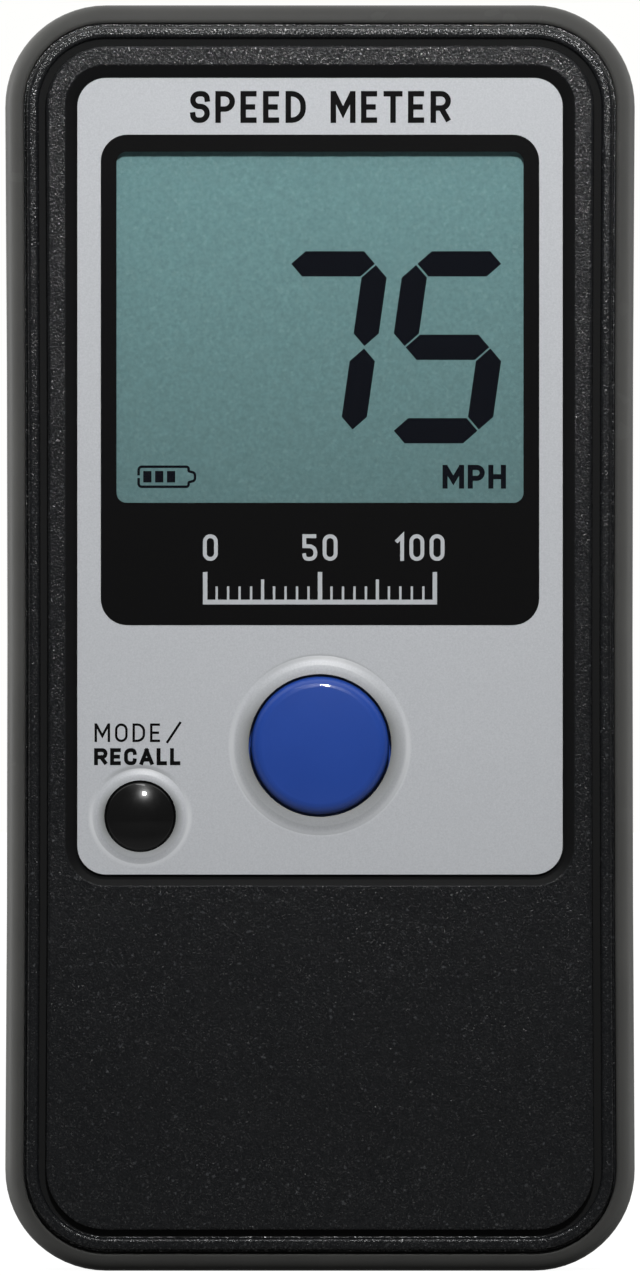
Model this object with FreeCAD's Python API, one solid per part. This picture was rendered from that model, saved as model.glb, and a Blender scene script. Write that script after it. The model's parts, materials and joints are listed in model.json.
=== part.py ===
"""Pocket-size speed radar: a hand-held case with a display, two push buttons, a radar
antenna behind its back wall and two AAA cells under a door that swings down.

Row frame, in millimetres: +X to the right as the user sees the display, +Y away from the
user (the radar looks along +Y), +Z up the case. The origin is the middle of the bottom end.
"""

import FreeCAD
import Part
import math
import os

V = FreeCAD.Vector
X_AXIS, Y_AXIS, Z_AXIS = V(1, 0, 0), V(0, 1, 0), V(0, 0, 1)

# ---- Driving dimensions -------------------------------------------------------------------
WIDTH, HEIGHT = 59.2, 119.0
CORNER_R = 9.5          # outline corner, concentric with every line on the front
WAIST = 0.2             # how far each long side dips in at mid height
FACE_Y, BACK_Y = -9.8, 10.5
WALL = 1.75
GAP = 0.05              # assembly clearance between fixed parts

# Front of the case: each line's distance in from the outline
RIM_ROUND_R, RIM_INNER_R, BACK_ROUND_R = 1.35, 0.35, 3.5
BEZEL_OFFSET, RIB_OFFSET, PLATEAU_OFFSET, RECESS_OFFSET = 2.0, 3.15, 3.85, 5.65
RIM_Y = -8.7            # front rim of the rear housing
LIP_Y = -8.25           # front of the lip that closes the seam between the housings
RIB_Y, GROOVE_Y = -9.45, -8.9
RIB_ROUND_R, PLATEAU_ROUND_R, RECESS_ROUND_R = 0.4, 0.3, 0.2
PLATE_IN_Y = -7.6       # inner face of the front plate
SKIRT_END_Y = -4.6
SKIRT_T = 1.2
STIFFENERS_X, STIFFENER_T, STIFFENER_END_Y = (-9.0, 0.0, 9.0), 1.2, -5.6
STIFFENER_LOW_Z, STIFFENER_TOP_Z = 6.0, 32.0
BACK_T = 1.8            # thickness of the rear housing's back wall

# Overlay sheet in its recess
RECESS_Y, OVERLAY_Y = -9.0, -9.4
OVERLAY_W, OVERLAY_H, OVERLAY_R = 45.6, 74.85, 2.7
OVERLAY_Z = 74.7
RECESS_LOW_Z = 36.2

# Display stack, from the front: window in the sheet, gasket, display glass, back panel
WINDOW_W, WINDOW_H, WINDOW_R, WINDOW_Z = 38.3, 33.05, 0.95, 88.7
LENS_SINK, LENS_T = 0.06, 0.5
GASKET_W, GASKET_H, GASKET_RIM, GASKET_T = 42.6, 37.2, 1.8, 0.2
LCD_X, LCD_TOP_Z, LCD_LOW_Z, LCD_LEDGE = 21.4, 107.2, 66.8, 3.4
GLASS_T, BACK_PANEL_T = 0.5, 1.1
GLASS_Y = RECESS_Y + GASKET_T
PANEL_Y = GLASS_Y + GLASS_T
FRAME_W, FRAME_TOP_Z, FRAME_LOW_Z, FRAME_FRONT_Y = 46.0, 108.8, 65.4, -7.5
FRAME_OPEN_X, FRAME_OPEN_LOW_Z, FRAME_OPEN_TOP_Z = 20.0, 71.4, 105.8
STRIP_X, STRIP_LOW_Z, STRIP_H = 20.4, 67.3, 2.2

# Main board
BOARD_FRONT_Y, BOARD_BACK_Y = -4.4, -3.2
BOARD_W, BOARD_LOW_Z, BOARD_TOP_Z = 49.0, 35.6, 114.0
BOARD_SCREWS = [(-22.2, 38.2), (22.2, 38.2), (-14.0, 111.6), (14.0, 111.6)]
BOARD_BOSS_R, BOARD_SCREW_R, BOARD_HEAD_R, BOARD_HEAD_T = 2.2, 0.85, 1.7, 0.9
PROCESSOR_AT, POWER_CHIP_AT, CRYSTAL_AT = (-3.0, 65.2), (9.2, 62.0), (9.4, 71.6)
INDUCTOR_AT, CAPACITOR_AT = (18.6, 60.6), (-18.0, 60.8)
CHIP_LEG_PITCH = 1.1

# Buttons: centre, radii of the cap, its hole, the formed collar and the flange, and the crown
FIRE = {"x": 0.0, "z": 49.4, "cap": 6.5, "hole": 6.72, "collar": 8.45, "flange": 7.5,
        "dome": 60.0, "top_y": -10.5, "edge": 1.1}
MODE = {"x": -16.9, "z": 42.75, "cap": 3.22, "hole": 3.38, "collar": 4.5, "flange": 4.2,
        "dome": 7.5, "top_y": -10.3, "edge": 0.3}
COLLAR_SLOPE = 0.175
FLANGE_T = 0.6
BUTTON_TRAVEL = 0.5
SWITCH_SIZE, SWITCH_FRONT_Y = 6.0, -6.1
SWITCH_FLOOR_T = 0.15
STEM_R, STEM_TOP_Y = 1.6, -6.95

# Battery compartment: two AAA cells side by side
CELL_R, CELL_L, NUB_R, NUB_L = 5.15, 44.5, 1.9, 0.9
CELL_X, CELL_Y = 5.6, 3.7
BAY_X, BAY_FRONT_Y, BAY_LOW_Z, BAY_TOP_Z = 11.2, -1.5, 5.6, 56.0
BAY_WALL = 1.4
CONTACT_T, CONTACT_X, CONTACT_FRONT_Y, CONTACT_BACK_Y = 0.4, 4.2, -0.9, 7.5
DIMPLE_L, DIMPLE_BASE_R, DIMPLE_TIP_R = 0.6, 2.2, 1.1
TAB_X, TAB_FRONT_Y, TAB_L = 1.0, 0.5, 2.2
SPRING_L, SPRING_WIDE_R, SPRING_NARROW_R, SPRING_WIRE_R, SPRING_TURNS = 4.5, 3.4, 2.5, 0.28, 3.5
LEAD_R, LEAD_PLUS_PAD_X, LEAD_MINUS_PAD_X = 0.5, -12.5, 13.2

# Battery door, the ledge it closes on and the pins it swings on
DOOR_X, DOOR_TOP_Z, DOOR_T = 17.0, 58.4, 1.6
DOOR_GAP, LEDGE_T, LEDGE_W = 0.12, 1.8, 2.4
HINGE_Z, HINGE_R, HINGE_PIN_R, HINGE_PIN_L = 4.95, 1.3, 0.6, 1.3
HINGE_Y = BACK_Y - HINGE_R
RELIEF_R = 1.45
LATCH_X, LATCH_LOW_Z, LATCH_SLOT = 6.0, 51.6, 0.5
GRIP_W, GRIP_H, GRIP_R, GRIP_DEPTH, GRIP_Z = 17.0, 10.6, 4.0, 0.6, 44.6
RIDGE_W, RIDGE_T, RIDGE_PITCH = 12.6, 0.7, 1.5

# Case screws, driven from the back: x, z, depth of the head's seat, depth where the bosses meet
CASE_SCREWS = [(-22.6, 111.6, 7.7, 0.0), (22.6, 111.6, 7.7, 0.0),
               (-14.4, 10.2, 7.3, -2.7), (14.4, 10.2, 7.3, -2.7)]
SCREW_R, SCREW_HEAD_R, SCREW_HEAD_T, SCREW_L = 1.1, 2.0, 1.5, 13.2
BOSS_R = 2.7

# Radar antenna board behind the main board
ANTENNA_W, ANTENNA_LOW_Z, ANTENNA_TOP_Z = 38.0, 62.5, 109.5
ANTENNA_FRONT_Y, ANTENNA_T = 6.2, 0.8
PATCH_PITCH, PATCH_W, PATCH_H, PATCH_T = 8.4, 4.2, 3.3, 0.06
PATCH_Z = 86.0
STANDOFFS = [(-16.0, 65.5), (16.0, 65.5), (-16.0, 106.5), (16.0, 106.5)]
STANDOFF_ACROSS, STANDOFF_STUD_R = 4.0, 1.0
SHIELD_X, SHIELD_LOW_Z, SHIELD_TOP_Z, SHIELD_H, SHIELD_T = 12.0, 75.0, 97.0, 3.5, 0.3
VENT_R, VENT_PITCH = 0.6, 3.0
HEADER_Z, HEADER_H, HEADER_PITCH, HEADER_PINS, HEADER_PIN_R = 101.5, 2.4, 2.0, 5, 0.28

# Lanyard lug in the lower right corner of the back
LANYARD_X, LANYARD_Z, LANYARD_Y, LANYARD_R = 23.6, 9.4, 5.4, 1.5

# Blank rating label on the back
LABEL_W, LABEL_H, LABEL_Z, LABEL_T = 38.0, 34.0, 86.0, 0.2


# ---- Shape helpers ------------------------------------------------------------------------
def box(x0, x1, y0, y1, z0, z1):
    return Part.makeBox(x1 - x0, y1 - y0, z1 - z0, V(x0, y0, z0))


def rod(radius, x, z, y0, y1):
    """A round bar along Y."""
    return Part.makeCylinder(radius, y1 - y0, V(x, y0, z), Y_AXIS)


def post(radius, x, y, z0, z1):
    """A round bar along Z."""
    return Part.makeCylinder(radius, z1 - z0, V(x, y, z0), Z_AXIS)


def arc(start, middle, end):
    return Part.Arc(start, middle, end).toShape()


def line(start, end):
    return Part.LineSegment(start, end).toShape()


def outline(offset, y):
    """The case outline moved in by offset: round corners joined by slightly hollow long sides."""
    r = CORNER_R - offset
    cx = WIDTH / 2 - CORNER_R
    half = HEIGHT / 2 - CORNER_R
    reach = (half**2 + WAIST**2) / (2 * WAIST)     # corner centre to waist arc centre
    tilt = math.asin(half / reach)
    mid = HEIGHT / 2

    def corner_point(side, end, angle):
        return V(side * (cx + r * math.cos(angle)), y, mid + end * (half + r * math.sin(angle)))

    edges = []
    for side, end in ((1, 1), (1, -1), (-1, -1), (-1, 1)):
        edges.append(arc(*[corner_point(side, end, a)
                           for a in (math.pi / 2, (math.pi / 2 - tilt) / 2, -tilt)]))
    for side in (1, -1):
        edges.append(arc(corner_point(side, 1, -tilt), V(side * (cx + r - WAIST), y, mid),
                         corner_point(side, -1, -tilt)))
    for end in (1, -1):
        edges.append(line(corner_point(1, end, math.pi / 2), corner_point(-1, end, math.pi / 2)))
    return Part.Wire(Part.__sortEdges__(edges))


def rounded(width, height, radius, y, z, x=0.0):
    """A rounded rectangle in a plane of constant Y, centred on (x, z)."""
    cx, cz, s = width / 2 - radius, height / 2 - radius, radius * math.sqrt(0.5)
    edges = []
    for i, j in ((1, 1), (1, -1), (-1, -1), (-1, 1)):
        centre = V(x + i * cx, y, z + j * cz)
        edges.append(arc(centre + V(i * radius, 0, 0), centre + V(i * s, 0, j * s),
                         centre + V(0, 0, j * radius)))
    for i in (1, -1):
        edges.append(line(V(x + i * width / 2, y, z - cz), V(x + i * width / 2, y, z + cz)))
        edges.append(line(V(x - cx, y, z + i * height / 2), V(x + cx, y, z + i * height / 2)))
    return Part.Wire(Part.__sortEdges__(edges))


def prism(wire, y1):
    """Extrudes a flat wire along Y until y1."""
    return Part.Face(wire).extrude(V(0, y1 - wire.BoundBox.YMin, 0))


def slab(width, height, radius, y0, y1, z, x=0.0):
    return prism(rounded(width, height, radius, y0, z, x), y1)


def edges_in_plane(shape, y, inside=None):
    """Edges lying at depth y, and if inside is given only those within that box of half width and Z."""
    found = []
    for e in shape.Edges:
        b = e.BoundBox
        if abs(b.YMin - y) > 1e-3 or abs(b.YMax - y) > 1e-3:
            continue
        if inside and not (b.XMax <= inside[0] and b.XMin >= -inside[0]
                           and b.ZMin >= inside[1] and b.ZMax <= inside[2]):
            continue
        found.append(e)
    return found


# ---- Case ---------------------------------------------------------------------------------
def case_solid():
    """The outside of the rear housing and its door, solid, with round front and back edges."""
    body = prism(outline(0, RIM_Y), BACK_Y)
    body = body.makeFillet(RIM_ROUND_R, edges_in_plane(body, RIM_Y))
    return body.makeFillet(BACK_ROUND_R, edges_in_plane(body, BACK_Y))


def collar_ring(button, foot_y):
    """The ring formed in the sheet round a button: a sloping flank, then a rounded crown."""
    foot, hole = button["collar"], button["hole"]
    width, rise = foot - hole, COLLAR_SLOPE * (foot - hole)

    def edge(y):
        points = [(foot, y), (hole + 0.5 * width, y - 0.83 * rise), (hole + 0.22 * width, y - rise),
                  (hole, y - 0.9 * rise)]
        return [V(button["x"] + r, py, button["z"]) for r, py in points]

    top, under = edge(foot_y), edge(foot_y + RECESS_Y - OVERLAY_Y)
    edges = [line(top[0], top[1]), arc(*top[1:]), line(top[3], under[3]), arc(*under[1:]),
             line(under[1], under[0]), line(under[0], top[0])]
    face = Part.Face(Part.Wire(Part.__sortEdges__(edges)))
    return face.revolve(V(button["x"], 0, button["z"]), Y_AXIS, 360)


def recess_cut():
    """The overlay's recess: sloping walls down to a floor that fits the sheet."""
    wide = WIDTH - 2 * RECESS_OFFSET
    top_z = HEIGHT - RECESS_OFFSET
    mouth = rounded(wide, top_z - RECESS_LOW_Z, CORNER_R - RECESS_OFFSET, FACE_Y,
                    (top_z + RECESS_LOW_Z) / 2)
    floor = rounded(OVERLAY_W + 0.2, OVERLAY_H + 0.2, OVERLAY_R + 0.1, RECESS_Y, OVERLAY_Z)
    return Part.makeLoft([mouth, floor], True, True)


def front_housing():
    body = prism(outline(BEZEL_OFFSET, RIB_Y), PLATE_IN_Y)
    body = body.cut(prism(outline(RIB_OFFSET, RIB_Y - 1), GROOVE_Y))
    body = body.makeFillet(RIB_ROUND_R, edges_in_plane(body, RIB_Y))
    lip = prism(outline(WALL + GAP, LIP_Y), PLATE_IN_Y)
    plateau = prism(outline(PLATEAU_OFFSET, FACE_Y), PLATE_IN_Y)
    plateau = plateau.makeFillet(PLATEAU_ROUND_R, edges_in_plane(plateau, FACE_Y))
    body = body.fuse([lip, plateau]).removeSplitter()
    body = body.cut(recess_cut())
    rim_box = (WIDTH / 2 - PLATEAU_OFFSET - 0.5, RECESS_LOW_Z - 1, HEIGHT - PLATEAU_OFFSET - 0.5)
    body = body.makeFillet(RECESS_ROUND_R, edges_in_plane(body, FACE_Y, rim_box))
    skirt = prism(outline(BEZEL_OFFSET, PLATE_IN_Y), SKIRT_END_Y)
    skirt = skirt.cut(prism(outline(BEZEL_OFFSET + SKIRT_T, PLATE_IN_Y - 1), SKIRT_END_Y + 1))
    adds = [skirt]
    for x, z, _, meet_y in CASE_SCREWS:
        adds.append(rod(BOSS_R, x, z, PLATE_IN_Y, meet_y - GAP))
    for x, z in BOARD_SCREWS:
        adds.append(rod(BOARD_BOSS_R, x, z, PLATE_IN_Y, BOARD_FRONT_Y - GAP))
    for x in STIFFENERS_X:
        adds.append(box(x - STIFFENER_T / 2, x + STIFFENER_T / 2, PLATE_IN_Y, STIFFENER_END_Y,
                        STIFFENER_LOW_Z, STIFFENER_TOP_Z))
    body = body.fuse(adds)
    cuts = [box(-LCD_X - 0.25, LCD_X + 0.25, RECESS_Y - 0.1, PLATE_IN_Y + 1,
                LCD_LOW_Z - 0.25, LCD_TOP_Z + 0.25)]
    for button in (FIRE, MODE):
        cuts.append(rod(button["hole"] + 0.05, button["x"], button["z"], FACE_Y - 1, PLATE_IN_Y + 1))
    for x, z, _, meet_y in CASE_SCREWS:
        cuts.append(rod(SCREW_R + GAP, x, z, PLATE_IN_Y + 0.7, meet_y + 1))
    for x, z in BOARD_SCREWS:
        cuts.append(rod(BOARD_SCREW_R + GAP, x, z, PLATE_IN_Y + 0.4, BOARD_FRONT_Y + 1))
    return body.cut(cuts).removeSplitter()


def door_opening():
    """The hole in the back wall for the door, with round relief for its barrel and pin holes."""
    ledge_y = BACK_Y - DOOR_T - 0.05
    x = DOOR_X
    pin_reach = DOOR_X + HINGE_PIN_L + 0.1
    return [box(-x, x, ledge_y, BACK_Y + 1, HINGE_Z, DOOR_TOP_Z),
            box(-x, x, HINGE_Y, BACK_Y + 1, HINGE_Z - RELIEF_R, HINGE_Z),
            Part.makeCylinder(RELIEF_R, 2 * x, V(-x, HINGE_Y, HINGE_Z), X_AXIS),
            Part.makeCylinder(HINGE_PIN_R + GAP, 2 * pin_reach, V(-pin_reach, HINGE_Y, HINGE_Z), X_AXIS)]


def rear_housing():
    outer = case_solid()
    hollow = prism(outline(WALL, RIM_Y - 1), BACK_Y - BACK_T)
    hollow = hollow.makeFillet(BACK_ROUND_R - WALL, edges_in_plane(hollow, BACK_Y - BACK_T))
    body = outer.cut(hollow)
    within = (WIDTH / 2 - RIM_ROUND_R - 0.1, RIM_ROUND_R + 0.1, HEIGHT - RIM_ROUND_R - 0.1)
    body = body.makeFillet(RIM_INNER_R, edges_in_plane(body, RIM_Y, within))
    ledge_y = BACK_Y - DOOR_T
    bay_x = BAY_X + BAY_WALL
    adds = [box(-bay_x, bay_x, BAY_FRONT_Y - 1.1, ledge_y, BAY_LOW_Z - BAY_WALL, BAY_TOP_Z + BAY_WALL),
            box(-DOOR_X - LEDGE_W, DOOR_X + LEDGE_W, ledge_y - LEDGE_T, BACK_Y, 0, DOOR_TOP_Z + LEDGE_W),
            box(-DOOR_X - LEDGE_W, DOOR_X + LEDGE_W, HINGE_Y - 3.2, BACK_Y, 0, HINGE_Z + 1.6),
            box(LANYARD_X - 3.2, WIDTH / 2, LANYARD_Y - 3.0, BACK_Y, 0, LANYARD_Z + 3.4)]
    for side in (-1, 1):             # ribs that steady the main board
        adds.append(box(8.25 * side - 0.75, 8.25 * side + 0.75, BOARD_BACK_Y + GAP, BAY_FRONT_Y, 38, 52))
    for x, z, _, meet_y in CASE_SCREWS:
        adds.append(rod(BOSS_R + 0.3, x, z, meet_y + GAP, ledge_y))
    body = body.fuse([a.common(outer) for a in adds])
    cuts = [box(-BAY_X, BAY_X, BAY_FRONT_Y, BACK_Y + 1, BAY_LOW_Z, BAY_TOP_Z),
            slab(LABEL_W + 0.3, LABEL_H + 0.3, 2.6, BACK_Y - 0.25, BACK_Y + 1, LABEL_Z),
            rod(LANYARD_R, LANYARD_X, LANYARD_Z, LANYARD_Y, BACK_Y + 1),
            post(LANYARD_R, LANYARD_X, LANYARD_Y, -1, LANYARD_Z)]
    cuts += door_opening()
    for x in (-CELL_X, CELL_X):      # slots for the contact tabs in the compartment's top wall
        cuts.append(box(x - TAB_X - 0.1, x + TAB_X + 0.1, TAB_FRONT_Y - 0.1, TAB_FRONT_Y + CONTACT_T + 0.3,
                        BAY_TOP_Z - 1, BAY_TOP_Z + BAY_WALL + 1))
    for x, z, seat_y, meet_y in CASE_SCREWS:
        cuts.append(rod(SCREW_R + 0.15, x, z, meet_y - 1, BACK_Y))
        cuts.append(rod(SCREW_HEAD_R + 0.25, x, z, seat_y, BACK_Y + 1))
    return body.cut(cuts).removeSplitter()


def battery_door():
    """The door plate with its hinge barrel and pins, a springy latch tongue and a finger grip."""
    x, top_z = DOOR_X - DOOR_GAP, DOOR_TOP_Z - DOOR_GAP
    y0 = BACK_Y - DOOR_T
    plate = box(-x, x, y0, BACK_Y, HINGE_Z, top_z)
    barrel = Part.makeCylinder(HINGE_R, 2 * x, V(-x, HINGE_Y, HINGE_Z), X_AXIS)
    pins = Part.makeCylinder(HINGE_PIN_R, 2 * (DOOR_X + HINGE_PIN_L),
                             V(-DOOR_X - HINGE_PIN_L, HINGE_Y, HINGE_Z), X_AXIS)
    door = plate.fuse([barrel, pins]).removeSplitter()
    for side in (-1, 1):             # slots that free the latch tongue
        edge = side * LATCH_X
        door = door.cut(box(edge - LATCH_SLOT / 2, edge + LATCH_SLOT / 2, y0 - 1, BACK_Y + 1,
                            LATCH_LOW_Z, top_z + 1))
    grip_y = BACK_Y - GRIP_DEPTH
    door = door.cut(slab(GRIP_W, GRIP_H, GRIP_R, grip_y, BACK_Y + 1, GRIP_Z))
    ridges = [slab(RIDGE_W - 1.3 * abs(i), RIDGE_T, 0.3, grip_y - 0.1, BACK_Y - GAP, GRIP_Z + i * RIDGE_PITCH)
              for i in range(-2, 3)]
    return door.fuse(ridges).removeSplitter()


# ---- Overlay, window and display ----------------------------------------------------------
def face_overlay():
    sheet = slab(OVERLAY_W, OVERLAY_H, OVERLAY_R, OVERLAY_Y, RECESS_Y, OVERLAY_Z)
    sheet = sheet.cut(slab(WINDOW_W, WINDOW_H, WINDOW_R, OVERLAY_Y - 1, RECESS_Y + 1, WINDOW_Z))
    for button in (FIRE, MODE):
        sheet = sheet.cut(rod(button["collar"], button["x"], button["z"], OVERLAY_Y - 1, RECESS_Y + 1))
        sheet = sheet.fuse(collar_ring(button, OVERLAY_Y))
    return sheet.removeSplitter()


def window_lens():
    """The clear window that fills the opening in the overlay."""
    y0 = OVERLAY_Y + LENS_SINK
    return slab(WINDOW_W - 2 * GAP, WINDOW_H - 2 * GAP, WINDOW_R - GAP, y0, y0 + LENS_T, WINDOW_Z)


def display_gasket():
    y0, y1 = RECESS_Y, GLASS_Y
    ring = slab(GASKET_W, GASKET_H, 1.0, y0, y1, WINDOW_Z)
    opening = slab(GASKET_W - 2 * GASKET_RIM, GASKET_H - 2 * GASKET_RIM, 1.0, y0 - 1, y1 + 1, WINDOW_Z)
    return ring.cut(opening)


def lcd_front_glass():
    return box(-LCD_X, LCD_X, GLASS_Y, PANEL_Y, LCD_LOW_Z, LCD_TOP_Z)


def lcd_back_panel():
    return box(-LCD_X, LCD_X, PANEL_Y, PANEL_Y + BACK_PANEL_T, LCD_LOW_Z + LCD_LEDGE, LCD_TOP_Z)


def lcd_frame():
    """The moulding that holds the display glass off the main board, open behind it and round the strip."""
    ledge_y = PANEL_Y + BACK_PANEL_T
    middle = (FRAME_TOP_Z + FRAME_LOW_Z) / 2
    frame = slab(FRAME_W, FRAME_TOP_Z - FRAME_LOW_Z, 1.0, FRAME_FRONT_Y, BOARD_FRONT_Y, middle)
    glass = box(-LCD_X - 0.1, LCD_X + 0.1, FRAME_FRONT_Y - 1, ledge_y, LCD_LOW_Z - 0.1, LCD_TOP_Z + 0.1)
    inner = box(-FRAME_OPEN_X, FRAME_OPEN_X, ledge_y - 1, BOARD_FRONT_Y + 1,
                FRAME_OPEN_LOW_Z, FRAME_OPEN_TOP_Z)
    strip_slot = box(-STRIP_X - 0.2, STRIP_X + 0.2, ledge_y - 1, BOARD_FRONT_Y + 1,
                     STRIP_LOW_Z - 0.2, STRIP_LOW_Z + STRIP_H + 0.2)
    return frame.cut([glass, inner, strip_slot])


def zebra_strip():
    return box(-STRIP_X, STRIP_X, PANEL_Y, BOARD_FRONT_Y, STRIP_LOW_Z, STRIP_LOW_Z + STRIP_H)


# ---- Buttons and their switches -----------------------------------------------------------
def button_cap(button):
    """A domed round cap with a rounded edge and a flange that keeps it behind the front plate."""
    x, z, r, top = button["x"], button["z"], button["cap"], button["top_y"]
    flange_y = PLATE_IN_Y + GAP
    cap = rod(r, x, z, top - 1, flange_y + 0.1)
    dome = Part.makeSphere(button["dome"], V(x, top + button["dome"], z))
    cap = cap.common(dome)
    rim = [e for e in cap.Edges if e.BoundBox.YMax < flange_y - 0.2 and e.Length > 2 * math.pi * r * 0.95]
    cap = cap.makeFillet(button["edge"], rim)
    flange = rod(button["flange"], x, z, flange_y, flange_y + FLANGE_T - 0.02)
    return cap.fuse(flange).removeSplitter()


def switch_body(button):
    x, z, half = button["x"], button["z"], SWITCH_SIZE / 2
    body = slab(SWITCH_SIZE, SWITCH_SIZE, 0.5, SWITCH_FRONT_Y, BOARD_FRONT_Y, z, x)
    body = body.cut(rod(STEM_R + GAP, x, z, SWITCH_FRONT_Y - 1, BOARD_FRONT_Y - SWITCH_FLOOR_T))
    legs = [box(x + i * (half + 0.6) - 0.6, x + i * (half + 0.6) + 0.6, BOARD_FRONT_Y - 0.2,
                BOARD_FRONT_Y, z + j * 2.2 - 0.35, z + j * 2.2 + 0.35)
            for i in (-1, 1) for j in (-1, 1)]
    return body.fuse(legs).removeSplitter()


def switch_stem(button):
    end_y = BOARD_FRONT_Y - SWITCH_FLOOR_T - BUTTON_TRAVEL - 2 * GAP
    stem = rod(STEM_R, button["x"], button["z"], STEM_TOP_Y, end_y)
    return stem.makeFillet(0.2, edges_in_plane(stem, STEM_TOP_Y))


# ---- Main board ---------------------------------------------------------------------------
def main_board():
    board = slab(BOARD_W, BOARD_TOP_Z - BOARD_LOW_Z, 2.0, BOARD_FRONT_Y, BOARD_BACK_Y,
                 (BOARD_TOP_Z + BOARD_LOW_Z) / 2)
    cuts = [rod(BOSS_R + 0.6, x, z, -6, -2) for x, z, _, _ in CASE_SCREWS]
    cuts += [rod(BOARD_SCREW_R + 0.25, x, z, -6, -2) for x, z in BOARD_SCREWS]
    cuts += [rod(STANDOFF_STUD_R + GAP, x, z, -6, -2) for x, z in STANDOFFS]
    return board.cut(cuts)


def cross_screw(x, z, tip_y, seat_y, shank_r, head_r, head_t):
    """A pan-head screw along Y with a cross recess, its shank running from tip_y to seat_y."""
    head = rod(head_r, x, z, seat_y, seat_y + head_t)
    head = head.makeFillet(0.3 * head_t, edges_in_plane(head, seat_y + head_t))
    screw = rod(shank_r, x, z, tip_y, seat_y).fuse(head).removeSplitter()
    reach = 0.62 * head_r
    slot = box(x - reach, x + reach, seat_y + 0.5 * head_t, seat_y + 2 * head_t, z - 0.22, z + 0.22)
    return screw.cut([slot, slot.rotated(V(x, 0, z), Y_AXIS, 90)])


def board_screws():
    return Part.makeCompound([cross_screw(x, z, PLATE_IN_Y + 0.6, BOARD_BACK_Y, BOARD_SCREW_R,
                                          BOARD_HEAD_R, BOARD_HEAD_T) for x, z in BOARD_SCREWS])


def board_chip(width, height, thick, place):
    """A moulded chip on the back of the main board, with short legs on its two upright sides."""
    x, z = place
    y = BOARD_BACK_Y
    body = box(x - width / 2, x + width / 2, y + 0.1, y + thick, z - height / 2, z + height / 2)
    count = int(height / CHIP_LEG_PITCH)
    legs = []
    for i in range(count):
        zi = z + (i - (count - 1) / 2) * CHIP_LEG_PITCH
        legs.append(box(x - width / 2 - 0.8, x + width / 2 + 0.8, y, y + 0.3, zi - 0.2, zi + 0.2))
    return body.fuse(legs).removeSplitter()


def processor_chip():
    return board_chip(11.0, 11.0, 1.5, PROCESSOR_AT)


def power_chip():
    return board_chip(4.2, 5.2, 1.3, POWER_CHIP_AT)


def crystal_can():
    x, z = CRYSTAL_AT
    return slab(4.4, 2.0, 0.95, BOARD_BACK_Y, BOARD_BACK_Y + 1.1, z, x)


def power_inductor():
    """A drum core between two square flanges, wound in the middle."""
    x, z = INDUCTOR_AT
    y = BOARD_BACK_Y
    flanges = [slab(5.6, 5.6, 0.8, y + dy, y + dy + 0.6, z, x) for dy in (0, 2.4)]
    return rod(2.4, x, z, y + 0.6, y + 2.4).fuse(flanges).removeSplitter()


def bulk_capacitor():
    x, z = CAPACITOR_AT
    foot_y, top_y = BOARD_BACK_Y + 0.6, BOARD_BACK_Y + 5.4
    can = rod(2.5, x, z, foot_y, top_y)
    can = can.makeFillet(0.4, edges_in_plane(can, top_y))
    return can.fuse(slab(5.3, 5.3, 0.6, BOARD_BACK_Y, foot_y, z, x)).removeSplitter()


def chip_row(width, height, thick, places):
    """Small two-terminal parts on the back of the main board."""
    return Part.makeCompound([box(x - width / 2, x + width / 2, BOARD_BACK_Y, BOARD_BACK_Y + thick,
                                  z - height / 2, z + height / 2) for x, z in places])


def smd_capacitors():
    return chip_row(1.6, 0.8, 0.8, [(x, 72.9) for x in (-9.6, -7.2, -4.8, -2.4, 0.0)]
                    + [(14.6, z) for z in (70.0, 72.0, 76.0, 80.0, 84.0)])


def smd_resistors():
    return chip_row(1.6, 0.8, 0.45, [(-14.6, z) for z in (70.0, 72.0, 76.0, 80.0, 84.0, 88.0)]
                    + [(14.6, z) for z in (88.0, 92.0, 96.0)])


def rf_shield():
    """A thin drawn cover over the microwave circuit, with rows of vent holes."""
    y0, y1 = BOARD_BACK_Y, BOARD_BACK_Y + SHIELD_H
    middle = (SHIELD_LOW_Z + SHIELD_TOP_Z) / 2
    tall = SHIELD_TOP_Z - SHIELD_LOW_Z
    can = slab(2 * SHIELD_X, tall, 1.0, y0, y1, middle)
    can = can.makeFillet(0.5, edges_in_plane(can, y1))
    inside = slab(2 * (SHIELD_X - SHIELD_T), tall - 2 * SHIELD_T, 0.7, y0 - 1, y1 - SHIELD_T, middle)
    can = can.cut(inside)
    holes = [rod(VENT_R, VENT_PITCH * i, middle + VENT_PITCH * j, y0, y1 + 1)
             for i in range(-3, 4) for j in range(-2, 3)]
    return can.cut(holes)


def radar_chip():
    middle = (SHIELD_LOW_Z + SHIELD_TOP_Z) / 2
    return slab(6.0, 6.0, 0.2, BOARD_BACK_Y, BOARD_BACK_Y + 0.9, middle)


# ---- Antenna ------------------------------------------------------------------------------
def antenna_board():
    middle = (ANTENNA_LOW_Z + ANTENNA_TOP_Z) / 2
    board = slab(ANTENNA_W, ANTENNA_TOP_Z - ANTENNA_LOW_Z, 2.0, ANTENNA_FRONT_Y,
                 ANTENNA_FRONT_Y + ANTENNA_T, middle)
    return board.cut([rod(STANDOFF_STUD_R + GAP, x, z, 0, 9) for x, z in STANDOFFS])


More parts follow.
